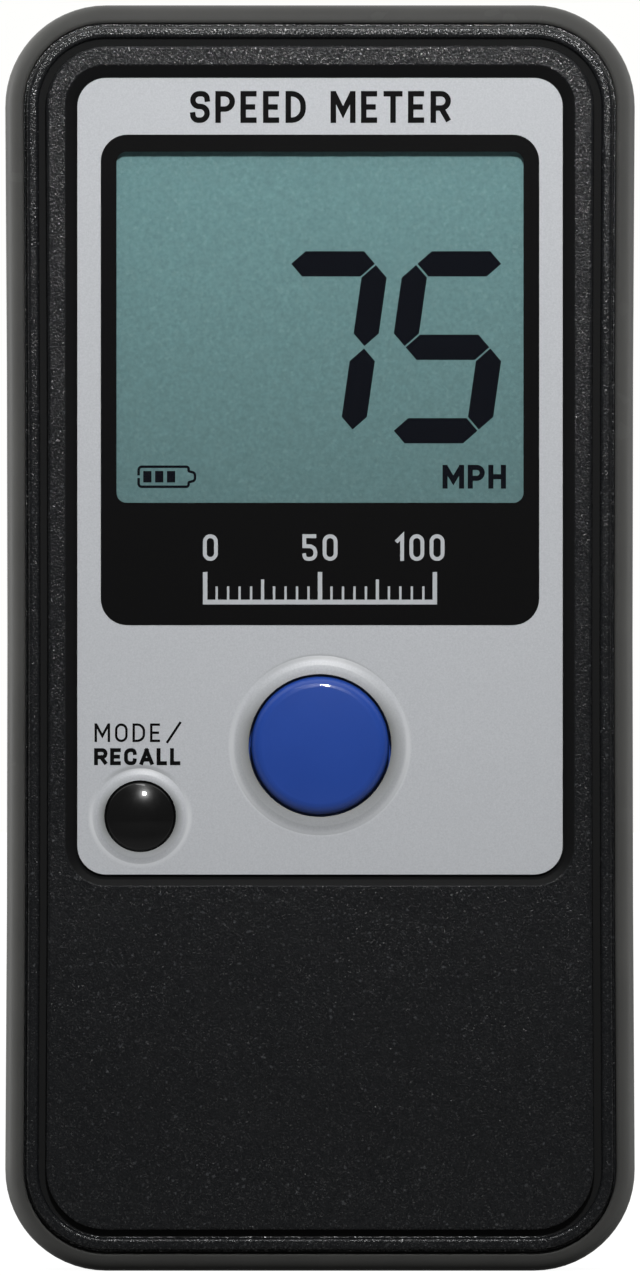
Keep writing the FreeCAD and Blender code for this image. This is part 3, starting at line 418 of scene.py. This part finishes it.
def moulded(name, dark, light, rough):
    """Plain moulded plastic or rubber with a fine grain."""
    t = Tree(name)
    grain = t.noise(0.25, 3.0)
    cloud = t.noise(2.5, 3.0)
    base = t.mix(t.spread(cloud, 0.3, 0.7, 0.0, 1.0), dark, light)
    return t.solid(Base_Color=base, Roughness=t.spread(grain, 0.3, 0.7, rough - 0.06, rough + 0.06),
                   Normal=t.bump(grain, 0.012, 0.5))


def metal(name, dark, light, rough, stretch=(1.0, 1.0, 6.0)):
    """Plated metal with fine drawn lines."""
    t = Tree(name)
    place = t.add("ShaderNodeMapping", Vector=t.where, Scale=stretch).outputs[0]
    lines = t.add("ShaderNodeTexNoise", Vector=place, Scale=2200.0, Detail=3.0).outputs["Fac"]
    tarnish = t.noise(1.8, 3.0)
    base = t.mix(t.spread(tarnish, 0.3, 0.75, 0.0, 1.0), light, dark)
    return t.solid(Base_Color=base, Metallic=1.0,
                   Roughness=t.spread(lines, 0.3, 0.7, rough - 0.06, rough + 0.10),
                   Normal=t.bump(lines, 0.004, 0.35))


def circuit_board():
    """Green solder mask over copper tracks that show as slightly lighter lines."""
    t = Tree("circuit_board")
    tracks = t.add("ShaderNodeTexBrick", {"offset": 0.37, "squash": 0.6, "squash_frequency": 3},
                   Vector=t.where, Scale=260.0, Mortar_Size=0.045, Mortar_Smooth=0.2,
                   Brick_Width=0.9, Row_Height=0.28)
    weave = t.noise(0.4, 2.0)
    base = t.mix(tracks.outputs["Fac"], (0.008, 0.085, 0.03), (0.02, 0.17, 0.06))
    base = t.mix(t.spread(weave, 0.3, 0.7, 0.0, 0.35), base, (0.01, 0.06, 0.025))
    return t.solid(Base_Color=base, Roughness=0.3, Coat_Weight=0.4,
                   Normal=t.bump(tracks.outputs["Fac"], 0.03, 0.5))


def cell_wrap():
    """A battery's plain printed sleeve: a blue body with a grey band at its positive end. Seen
    from the front, that is the top of the left-hand cell and the foot of the right-hand one."""
    t = Tree("cell_wrap")
    grain = t.noise(0.3, 3.0)
    height = t.math("DIVIDE", t.axis(2), MM)
    side = t.math("GREATER_THAN", t.axis(0), 0.0)
    from_plus = t.add("ShaderNodeMix", {"data_type": "FLOAT"})
    t.put(from_plus.inputs[0], side)
    t.put(from_plus.inputs[2], t.math("SUBTRACT", CELL_TOP, height))
    t.put(from_plus.inputs[3], t.math("SUBTRACT", height, CELL_LOW))
    band = t.math("LESS_THAN", from_plus.outputs[0], CELL_BAND)
    nub = t.math("LESS_THAN", from_plus.outputs[0], CELL_NUB)
    base = t.mix(t.spread(grain, 0.3, 0.7, 0.0, 1.0), (0.02, 0.07, 0.20), (0.025, 0.085, 0.24))
    base = t.mix(band, base, (0.35, 0.36, 0.37))
    base = t.mix(nub, base, (0.62, 0.61, 0.58))
    return t.solid(Base_Color=base, Metallic=t.math("MAXIMUM", nub, t.math("MULTIPLY", band, 0.6)),
                   Roughness=t.spread(grain, 0.3, 0.7, 0.26, 0.36), Normal=t.bump(grain, 0.004, 0.3))


def label_paper():
    """The grey metallised paper of a rating label."""
    t = Tree("label_paper")
    fibre = t.noise(0.22, 4.0, 0.7)
    base = t.mix(t.spread(fibre, 0.3, 0.7, 0.0, 1.0), (0.27, 0.275, 0.28), (0.33, 0.335, 0.34))
    return t.solid(Base_Color=base, Roughness=t.spread(fibre, 0.3, 0.7, 0.38, 0.5), Metallic=0.25,
                   Normal=t.bump(fibre, 0.006, 0.4))


def node_materials():
    """The material of every slot in the record."""
    return {
        "textured_case": textured_plastic(),
        "smooth_case": smooth_plastic(),
        "silver_overlay": silver_sheet(),
        "clear_window": clear_pane("clear_window", (0.97, 0.985, 0.98), 0.03),
        "display_glass": clear_pane("display_glass", (0.985, 0.99, 0.985), 0.02),
        "display_panel": display_panel(),
        "black_foam": moulded("black_foam", (0.010, 0.010, 0.010), (0.02, 0.02, 0.02), 0.85),
        "inner_frame": moulded("inner_frame", (0.52, 0.52, 0.49), (0.60, 0.60, 0.57), 0.45),
        "zebra_rubber": moulded("zebra_rubber", (0.22, 0.12, 0.18), (0.33, 0.19, 0.27), 0.7),
        "blue_button": glossy_plastic("blue_button", (0.0170, 0.060, 0.318), (0.0190, 0.065, 0.338),
                                      0.30, 0.6),
        "black_button": glossy_plastic("black_button", (0.0024, 0.0024, 0.0025),
                                       (0.0036, 0.0036, 0.0037), 0.22, 0.6),
        "switch_black": moulded("inner_black", (0.010, 0.010, 0.011), (0.018, 0.018, 0.019), 0.5),
        "switch_stem": moulded("switch_stem", (0.20, 0.07, 0.025), (0.28, 0.10, 0.04), 0.4),
        "circuit_board": circuit_board(),
        "antenna_laminate": moulded("antenna_laminate", (0.42, 0.40, 0.32), (0.50, 0.48, 0.40), 0.5),
        "chip_black": moulded("chip_black", (0.013, 0.013, 0.014), (0.024, 0.024, 0.026), 0.45),
        "bright_steel": metal("bright_steel", (0.42, 0.42, 0.42), (0.62, 0.62, 0.61), 0.26),
        "dark_screw": metal("dark_screw", (0.03, 0.03, 0.032), (0.075, 0.075, 0.08), 0.34),
        "gold_metal": metal("gold_metal", (0.62, 0.42, 0.14), (0.83, 0.62, 0.28), 0.24),
        "capacitor_can": metal("capacitor_can", (0.55, 0.55, 0.56), (0.74, 0.74, 0.75), 0.22),
        "ferrite": moulded("ferrite", (0.020, 0.020, 0.022), (0.040, 0.040, 0.043), 0.6),
        "chip_ceramic": moulded("chip_ceramic", (0.30, 0.19, 0.11), (0.40, 0.27, 0.17), 0.45),
        "cell_wrap": cell_wrap(),
        "lead_red": moulded("lead_red", (0.30, 0.012, 0.010), (0.42, 0.02, 0.016), 0.4),
        "lead_black": moulded("lead_black", (0.010, 0.010, 0.010), (0.018, 0.018, 0.018), 0.4),
        "plain_label": label_paper(),
    }


def dress_nodes():
    """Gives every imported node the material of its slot, and returns the materials by slot."""
    made = node_materials()
    for part in frame["record"]["subparts"]:
        node = frame["nodes"][part["node"]]
        node.data.materials.clear()
        node.data.materials.append(made[part["material_slot"]])
    return made


# ---- Flat shapes with a little thickness --------------------------------------------------
# Every added piece is fixed to the case. Outlines are lists of (x, z) in millimetres,
# anticlockwise as the user sees them.
def slab_mesh(name, outlines, front_y, thickness_mm, material):
    """A piece made of flat shapes with their fronts at front_y."""
    bm = bmesh.new()
    back_y = front_y + thickness_mm * MM
    for count, outline in enumerate(outlines):
        lift = STAGGER * MM * (count % STAGGER_STEPS)
        front = [bm.verts.new((x * MM, front_y - lift, z * MM)) for x, z in outline]
        back = [bm.verts.new((x * MM, back_y, z * MM)) for x, z in outline]
        bm.faces.new(front)
        bm.faces.new(list(reversed(back)))
        for i in range(len(front)):
            j = (i + 1) % len(front)
            bm.faces.new((front[j], front[i], back[i], back[j]))
    piece_from(bm, name, material)


def piece_from(bm, name, material):
    """Ends a piece's mesh and puts it on the case."""
    bmesh.ops.recalc_face_normals(bm, faces=bm.faces)
    mesh = bpy.data.meshes.new(name)
    bm.to_mesh(mesh)
    bm.free()
    mesh.materials.append(material)
    obj = bpy.data.objects.new(name, mesh)
    bpy.context.scene.collection.objects.link(obj)
    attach(obj, "case")


def ring_mesh(name, outer, inner, front_y, thickness_mm, material):
    """A flat ring between two matching outlines, as one closed solid."""
    bm = bmesh.new()
    rings = []
    for outline in (outer, inner):
        for y in (front_y, front_y + thickness_mm * MM):
            rings.append([bm.verts.new((x * MM, y, z * MM)) for x, z in outline])
    outer_front, outer_back, inner_front, inner_back = rings
    count = len(outer)
    for first, second in ((outer_front, inner_front), (inner_back, outer_back),
                          (outer_back, outer_front), (inner_front, inner_back)):
        for i in range(count):
            j = (i + 1) % count
            bm.faces.new((first[i], first[j], second[j], second[i]))
    piece_from(bm, name, material)


def box(x0, x1, z0, z1):
    """Outline of a plain rectangle."""
    return [(x0, z0), (x1, z0), (x1, z1), (x0, z1)]


def rounded_box(x0, x1, z0, z1, radius, steps=10):
    """Outline of a rounded rectangle, anticlockwise from its right-hand side."""
    points = []
    for cx, cz, start in ((x1 - radius, z1 - radius, 0), (x0 + radius, z1 - radius, 90),
                          (x0 + radius, z0 + radius, 180), (x1 - radius, z0 + radius, 270)):
        for i in range(steps + 1):
            angle = math.radians(start + 90 * i / steps)
            points.append((cx + radius * math.cos(angle), cz + radius * math.sin(angle)))
    return points


# ---- Lettering ----------------------------------------------------------------------------
# Each glyph is (width, strokes) on a height of 1. A stroke is a list of (x, z, corner radius)
# along its middle. Open ends run on by half a stroke, and a stroke that ends where it began
# is closed. A radius larger than the corner has room for is held to what fits.
GLYPHS = {
    "A": (0.68, [[(.04, .025, 0), (.5, .975, 0)], [(.96, .025, 0), (.5, .975, 0)],
                 [(.25, .27, 0), (.75, .27, 0)]]),
    "C": (0.58, [[(1, .78, 0), (1, 1, 1), (0, 1, 1), (0, 0, 1), (1, 0, 1), (1, .22, 0)]]),
    "D": (0.62, [[(0, 0, 0), (1, 0, .36), (1, 1, .36), (0, 1, 0), (0, 0, 0)]]),
    "E": (0.52, [[(.92, 1, 0), (0, 1, 0), (0, 0, 0), (.92, 0, 0)], [(0, .5, 0), (.8, .5, 0)]]),
    "H": (0.62, [[(0, 0, 0), (0, 1, 0)], [(1, 0, 0), (1, 1, 0)], [(0, .5, 0), (1, .5, 0)]]),
    "L": (0.50, [[(0, 1, 0), (0, 0, 0), (.92, 0, 0)]]),
    "M": (0.76, [[(0, 0, 0), (0, 1, 0)], [(1, 0, 0), (1, 1, 0)],
                 [(.06, .96, 0), (.5, .3, 0), (.94, .96, 0)]]),
    "O": (0.62, [[(.5, 1, 0), (0, 1, 1), (0, 0, 1), (1, 0, 1), (1, 1, 1), (.5, 1, 0)]]),
    "P": (0.60, [[(0, 0, 0), (0, 1, 0), (1, 1, 1), (1, .42, 1), (0, .42, 0)]]),
    "R": (0.62, [[(0, 0, 0), (0, 1, 0), (1, 1, 1), (1, .46, 1), (0, .46, 0)],
                 [(.55, .44, 0), (.94, .06, 0)]]),
    "S": (0.60, [[(1, .80, 0), (1, 1, 1), (0, 1, 1), (0, .52, 1), (1, .52, 1),
                  (1, 0, 1), (0, 0, 1), (0, .20, 0)]]),
    "T": (0.58, [[(0, 1, 0), (1, 1, 0)], [(.5, 0, 0), (.5, 1, 0)]]),
    "/": (0.80, [[(.05, -.07, 0), (.95, 1.1, 0)]]),
    "0": (0.56, [[(.5, 1, 0), (0, 1, 1), (0, 0, 1), (1, 0, 1), (1, 1, 1), (.5, 1, 0)]]),
    "1": (0.32, [[(0, .80, 0), (1, 1, 0), (1, 0, 0)]]),
    "5": (0.56, [[(.9, 1, 0), (0, 1, 0), (0, .56, 0), (1, .56, 1), (1, 0, 1), (0, 0, 1), (0, .16, 0)]]),
    " ": (0.42, []),
}


def round_corners(points, steps=6):
    """(middle line, closed) with an arc in place of each inner corner that has a radius."""
    spots = [Vector(point[:2]) for point in points]
    line = [spots[0]]
    for i in range(1, len(spots) - 1):
        here, radius = spots[i], points[i][2]
        before, after = spots[i - 1] - here, spots[i + 1] - here
        if radius == 0:
            line.append(here)
            continue
        half = before.angle(after) / 2
        room = min(before.length * (0.5 if points[i - 1][2] else 1.0),
                   after.length * (0.5 if points[i + 1][2] else 1.0))
        reach = min(radius / math.tan(half), room)
        first, last = before.normalized() * reach, after.normalized() * reach
        centre = (first + last) / (1 + math.cos(2 * half))
        swing = (first - centre).angle_signed(last - centre)
        for k in range(steps + 1):
            spot = here + centre + (first - centre) @ Matrix.Rotation(swing * k / steps, 2)
            if (spot - line[-1]).length > 1e-5:
                line.append(spot)
    if (spots[-1] - line[-1]).length > 1e-5:
        line.append(spots[-1])
    return line, (line[0] - line[-1]).length < 1e-5


def ribbon(line, closed, width):
    """Quads of a constant-width band along a middle line, with mitred corners."""
    last = len(line) - 1
    sides = []
    for i, spot in enumerate(line):
        before = line[i - 1] if i > 0 else line[last - 1] if closed else None
        after = line[i + 1] if i < last else line[1] if closed else None
        into = (spot - before).normalized() if before else (after - spot).normalized()
        onward = (after - spot).normalized() if after else into
        across = (into + onward).normalized()
        across = Vector((-across.y, across.x))
        reach = across * (width / 2 / max(across.dot(Vector((-into.y, into.x))), 0.3))
        sides.append((spot + reach, spot - reach))
    return [[tuple(p) for p in (sides[i][1], sides[i + 1][1], sides[i + 1][0], sides[i][0])]
            for i in range(last)]


def text_outlines(text, height, stroke, gap, squeeze):
    """(outlines, width) of a line of text in mm, starting at x = 0 on the baseline z = 0."""
    outlines, x = [], 0.0
    half = stroke / 2
    for letter in text:
        share, strokes = GLYPHS[letter]
        wide = share * height * squeeze
        for path in strokes:
            points = [(x + half + px * (wide - stroke), half + pz * (height - stroke), r * height)
                      for px, pz, r in path]
            middle, closed = round_corners(points)
            if not closed:
                middle[0] += (middle[0] - middle[1]).normalized() * half
                middle[-1] += (middle[-1] - middle[-2]).normalized() * half
            outlines += ribbon(middle, closed, stroke)
        x += wide + gap * height
    return outlines, x - gap * height


def text_at(text, height, stroke, x, z, gap=0.2, squeeze=1.0):
    """Outlines of a line of text with its middle at (x, z)."""
    outlines, width = text_outlines(text, height, stroke, gap, squeeze)
    left, low = x - width / 2, z - height / 2
    return [[(px + left, pz + low) for px, pz in outline] for outline in outlines]


# ---- Print on the sheet and the label -----------------------------------------------------
def print_words(ink):
    """The lines of lettering on the silver sheet."""
    for name, text, height, stroke, x, z, gap, squeeze in PRINT_LINES:
        outlines = text_at(text, height, stroke, x, z, gap, squeeze)
        slab_mesh(name, outlines, SHEET_Y - INK_T * MM, INK_T, ink)


def print_border(ink):
    """The black field that frames the window and runs down below it."""
    half = BORDER_W / 2
    outer = rounded_box(-half, half, BORDER_LOW, BORDER_TOP, BORDER_R)
    low, high = LENS_LOW / MM, LENS_HIGH / MM
    inner = rounded_box(low.x - WINDOW_MARGIN, high.x + WINDOW_MARGIN,
                        low.z - WINDOW_MARGIN, high.z + WINDOW_MARGIN, WINDOW_R)
    ring_mesh("print_border", outer, inner, SHEET_Y - INK_T * MM, INK_T, ink)


def print_scale(ink):
    """A plain graduated scale with three numbers, on the black field under the window."""
    half = SCALE_SPAN / 2
    long_mark, middle_mark, short_mark = (2.6, 0.42), (1.9, 0.3), (1.25, 0.22)
    outlines = [box(-half, half, SCALE_Z - SCALE_LINE, SCALE_Z)]
    for i in range(SCALE_STEPS + 1):
        tall, wide = long_mark if i % 10 == 0 else middle_mark if i % 5 == 0 else short_mark
        x = (half - long_mark[1] / 2) * (2 * i / SCALE_STEPS - 1)
        outlines.append(box(x - wide / 2, x + wide / 2, SCALE_Z, SCALE_Z + tall))
    for text, x in (("0", SCALE_FIRST_INSET - half), ("50", 0.0),
                    ("100", half - SCALE_LAST_INSET)):
        outlines += text_at(text, SCALE_TEXT_H, SCALE_TEXT_STROKE, x, SCALE_TEXT_Z)
    slab_mesh("print_scale", outlines, SHEET_Y - 2 * INK_T * MM, INK_T, ink)


def print_label(ink):
    """The printed frame and ruled rows of a blank rating label."""
    x0, x1 = LABEL_LOW.x / MM + LABEL_MARGIN, LABEL_HIGH.x / MM - LABEL_MARGIN
    z0, z1 = LABEL_LOW.z / MM + LABEL_MARGIN, LABEL_HIGH.z / MM - LABEL_MARGIN
    line = LABEL_LINE
    outer = rounded_box(x0, x1, z0, z1, LABEL_R)
    inner = rounded_box(x0 + line, x1 - line, z0 + line, z1 - line, LABEL_R - line)
    ring_mesh("print_frame", outer, inner, LABEL_HIGH.y, INK_T, ink)
    rows = []
    for i in range(1, LABEL_ROWS):
        z = z0 + (z1 - z0) * i / LABEL_ROWS
        rows.append(box(x0 + ROW_INDENT, x1 - ROW_INDENT, z - ROW_LINE / 2, z + ROW_LINE / 2))
    slab_mesh("print_rows", rows, LABEL_HIGH.y, INK_T, ink)


# ---- Display symbols ----------------------------------------------------------------------
def segment_outlines(lit, left):
    """Lit segments of one seven-segment digit, lettered a to g from the top round to the middle.
    Every segment is SEGMENT_T thick and ends in a point on the digit's centre lines."""
    h, t = DIGIT_H, SEGMENT_T
    x0, x1 = t / 2, DIGIT_W - t / 2
    z0, z1, z2 = t / 2, h / 2, h - t / 2
    g = SEGMENT_GAP / math.sqrt(2)

    def level(z):
        left_in, right_in = x0 + g + t / 2, x1 - g - t / 2
        return [(x0 + g, z), (left_in, z - t / 2), (right_in, z - t / 2), (x1 - g, z),
                (right_in, z + t / 2), (left_in, z + t / 2)]

    def upright(x, low, high):
        low_in, high_in = low + g + t / 2, high - g - t / 2
        return [(x, low + g), (x + t / 2, low_in), (x + t / 2, high_in), (x, high - g),
                (x - t / 2, high_in), (x - t / 2, low_in)]

    shapes = {"a": level(z2), "b": upright(x1, z1, z2), "c": upright(x1, z0, z1), "d": level(z0),
              "e": upright(x0, z0, z1), "f": upright(x0, z1, z2), "g": level(z1)}
    return [[(left + x + DIGIT_SLANT * z, DIGIT_LOW + z) for x, z in shapes[name]] for name in lit]


def charge_outlines():
    """A battery lying on its side: a stroke round its body and nub, and bars of charge. The stroke
    is broken in the middle of the battery's flat end."""
    x0, x1, tip = CHARGE_X
    z0, z1 = CHARGE_Z
    mid = (z0 + z1) / 2
    path = [(x0, mid + CHARGE_BREAK, 0), (x0, z1, 0.3), (x1, z1, 0.25), (x1, mid + NUB_FOOT, 0.1),
            (tip, mid + NUB_TOP, 0.3), (tip, mid - NUB_TOP, 0.3), (x1, mid - NUB_FOOT, 0.1),
            (x1, z0, 0.25), (x0, z0, 0.3), (x0, mid - CHARGE_BREAK, 0)]
    shapes = ribbon(*round_corners(path), CHARGE_STROKE)
    indent_x, indent_z = BAR_INDENT
    for i in range(BAR_COUNT):
        left = x0 + indent_x + i * BAR_PITCH
        shapes.append(box(left, left + BAR_W, z0 + indent_z, z1 - indent_z))
    return shapes


def display_film(material):
    """The reflector film that shows behind the symbols, laid on the front of the display's panel."""
    low, high = PANEL_LOW / MM, PANEL_HIGH / MM
    sheet = rounded_box(low.x + FILM_MARGIN, high.x - FILM_MARGIN,
                        low.z + FILM_MARGIN, high.z - FILM_MARGIN, 0.3)
    slab_mesh("display_film", [sheet], PANEL_LOW.y + FILM_Y * MM, FILM_T, material)


def display_symbols(ink):
    """Two digits, their unit and a charge symbol, printed on the film."""
    seven, five = "abc", "afgcd"
    digits = segment_outlines(seven, DIGIT_LEFT - DIGIT_PITCH) + segment_outlines(five, DIGIT_LEFT)
    unit = text_at("MPH", UNIT_H, UNIT_STROKE, UNIT_X, UNIT_Z, UNIT_GAP, UNIT_SQUEEZE)
    for name, shapes in (("display_digits", digits), ("display_unit", unit),
                         ("display_charge", charge_outlines())):
        slab_mesh(name, shapes, PANEL_LOW.y + SYMBOL_Y * MM, SYMBOL_T, ink)


# ---- Stage --------------------------------------------------------------------------------
def floor():
    """A plain pale floor. The camera sees it near white, it throws little light upwards, and its
    glow is mirrored only close under the case."""
    bm = bmesh.new()
    bmesh.ops.create_grid(bm, x_segments=1, y_segments=1, size=FLOOR_HALF)
    mesh = bpy.data.meshes.new("floor")
    bm.to_mesh(mesh)
    bm.free()
    t = Tree("floor")
    mottle = t.noise(220.0, 3.0)
    tone = t.mix(mottle, grey(FLOOR_GREY * 0.95), grey(FLOOR_GREY * 1.05))
    cloth = t.add("ShaderNodeBsdfDiffuse", Color=tone)
    glow = t.add("ShaderNodeEmission", Color=grey(1.0), Strength=t.spread(mottle, 0.0, 1.0, *FLOOR_GLOW))
    seen = t.add("ShaderNodeAddShader")
    t.links.new(cloth.outputs[0], seen.inputs[0])
    t.links.new(glow.outputs[0], seen.inputs[1])
    ray = t.add("ShaderNodeLightPath").outputs
    near = t.spread(t.math("ABSOLUTE", t.axis(1)), GLOW_NEAR, GLOW_FAR, MIRRORED_GLOW, 0.0)
    share = t.math("MAXIMUM", ray["Is Camera Ray"], t.math("MULTIPLY", ray["Is Glossy Ray"], near))
    mesh.materials.append(t.finish(join(t, share, cloth, seen)))
    obj = bpy.data.objects.new("floor", mesh)
    bpy.context.scene.collection.objects.link(obj)


def area_light(name, place, aim, size, power):
    """A white rectangular light that the camera doesn't see."""
    data = bpy.data.lights.new(name, "AREA")
    data.shape = "RECTANGLE"
    data.size, data.size_y = size
    data.energy = power
    obj = bpy.data.objects.new(name, data)
    obj.location = place
    obj.rotation_euler = (Vector(aim) - Vector(place)).to_track_quat("-Z", "Y").to_euler()
    obj.visible_camera = False
    bpy.context.scene.collection.objects.link(obj)
    return obj


def world_light():
    """Light from all round: dim in front, bright behind, beside and above. The camera sees white."""
    world = bpy.data.worlds.new("studio")
    bpy.context.scene.world = world
    world.use_nodes = True
    nodes, links = world.node_tree.nodes, world.node_tree.links
    nodes.clear()
    direction = nodes.new("ShaderNodeTexCoord").outputs["Generated"]
    total = None
    for axis, start, full, strength in WORLD_LOBES:
        along = nodes.new("ShaderNodeVectorMath")
        along.operation = "DOT_PRODUCT"
        along.inputs[1].default_value = Vector(axis).normalized()
        links.new(direction, along.inputs[0])
        lobe = nodes.new("ShaderNodeMapRange")
        lobe.interpolation_type = "SMOOTHSTEP"
        for key, value in (("From Min", start), ("From Max", full), ("To Min", 0.0), ("To Max", strength)):
            lobe.inputs[key].default_value = value
        links.new(along.outputs["Value"], lobe.inputs["Value"])
        if total is None:
            total = lobe.outputs["Result"]
            continue
        add = nodes.new("ShaderNodeMath")
        links.new(total, add.inputs[0])
        links.new(lobe.outputs["Result"], add.inputs[1])
        total = add.outputs[0]
    level = nodes.new("ShaderNodeMath")
    level.inputs[1].default_value = WORLD_FRONT
    links.new(total, level.inputs[0])
    lit = nodes.new("ShaderNodeBackground")
    lit.inputs["Color"].default_value = WORLD_WHITE
    links.new(level.outputs[0], lit.inputs["Strength"])
    seen = nodes.new("ShaderNodeBackground")
    seen.inputs["Color"].default_value = WORLD_WHITE
    path = nodes.new("ShaderNodeLightPath")
    mixer = nodes.new("ShaderNodeMixShader")
    output = nodes.new("ShaderNodeOutputWorld")
    links.new(path.outputs["Is Camera Ray"], mixer.inputs[0])
    links.new(lit.outputs[0], mixer.inputs[1])
    links.new(seen.outputs[0], mixer.inputs[2])
    links.new(mixer.outputs[0], output.inputs[0])


def studio():
    """A small key light, a faint strip above it, and two rim lights that reach only the back shell
    and the pieces on its surface."""
    area_light("key", KEY_PLACE, LIGHT_AIM, KEY_SIZE, KEY_POWER)
    area_light("strip", STRIP_PLACE, LIGHT_AIM, STRIP_SIZE, STRIP_POWER)
    shell = bpy.data.collections.new("rim_lit")
    for name in RIM_LIT:
        shell.objects.link(frame["nodes"][name])
    for x, power in RIM_LIGHTS:
        rim = area_light("rim", (x, RIM_Y, RIM_Z), (0.0, 0.0, RIM_Z), RIM_SIZE, power)
        rim.light_linking.receiver_collection = shell


def camera():
    """Straight at the front, from far enough away that the case fills the height of the picture."""
    low, high = CAD_BOX
    half_height = (high.z - low.z) * (0.5 + EDGE_SPACE)
    data = bpy.data.cameras.new("camera")
    data.lens, data.sensor_width = LENS, SENSOR
    data.clip_start, data.clip_end = 0.05, 20.0
    obj = bpy.data.objects.new("camera", data)
    distance = half_height / (SENSOR / 2 / LENS)
    obj.location = (0.0, low.y + RIM_DEPTH - distance, (high.z + low.z) / 2)
    obj.rotation_euler = (math.radians(90), 0, 0)
    bpy.context.scene.collection.objects.link(obj)
    bpy.context.scene.camera = obj


# ---- Put it together ----------------------------------------------------------------------
materials = dress_nodes()
ink = black_ink()
print_border(ink)
print_scale(silver_ink())
print_words(ink)
print_label(ink)
display_film(materials["display_panel"])
display_symbols(display_ink())
floor()
world_light()
studio()
camera()
bpy.context.scene.view_settings.view_transform = "Standard"
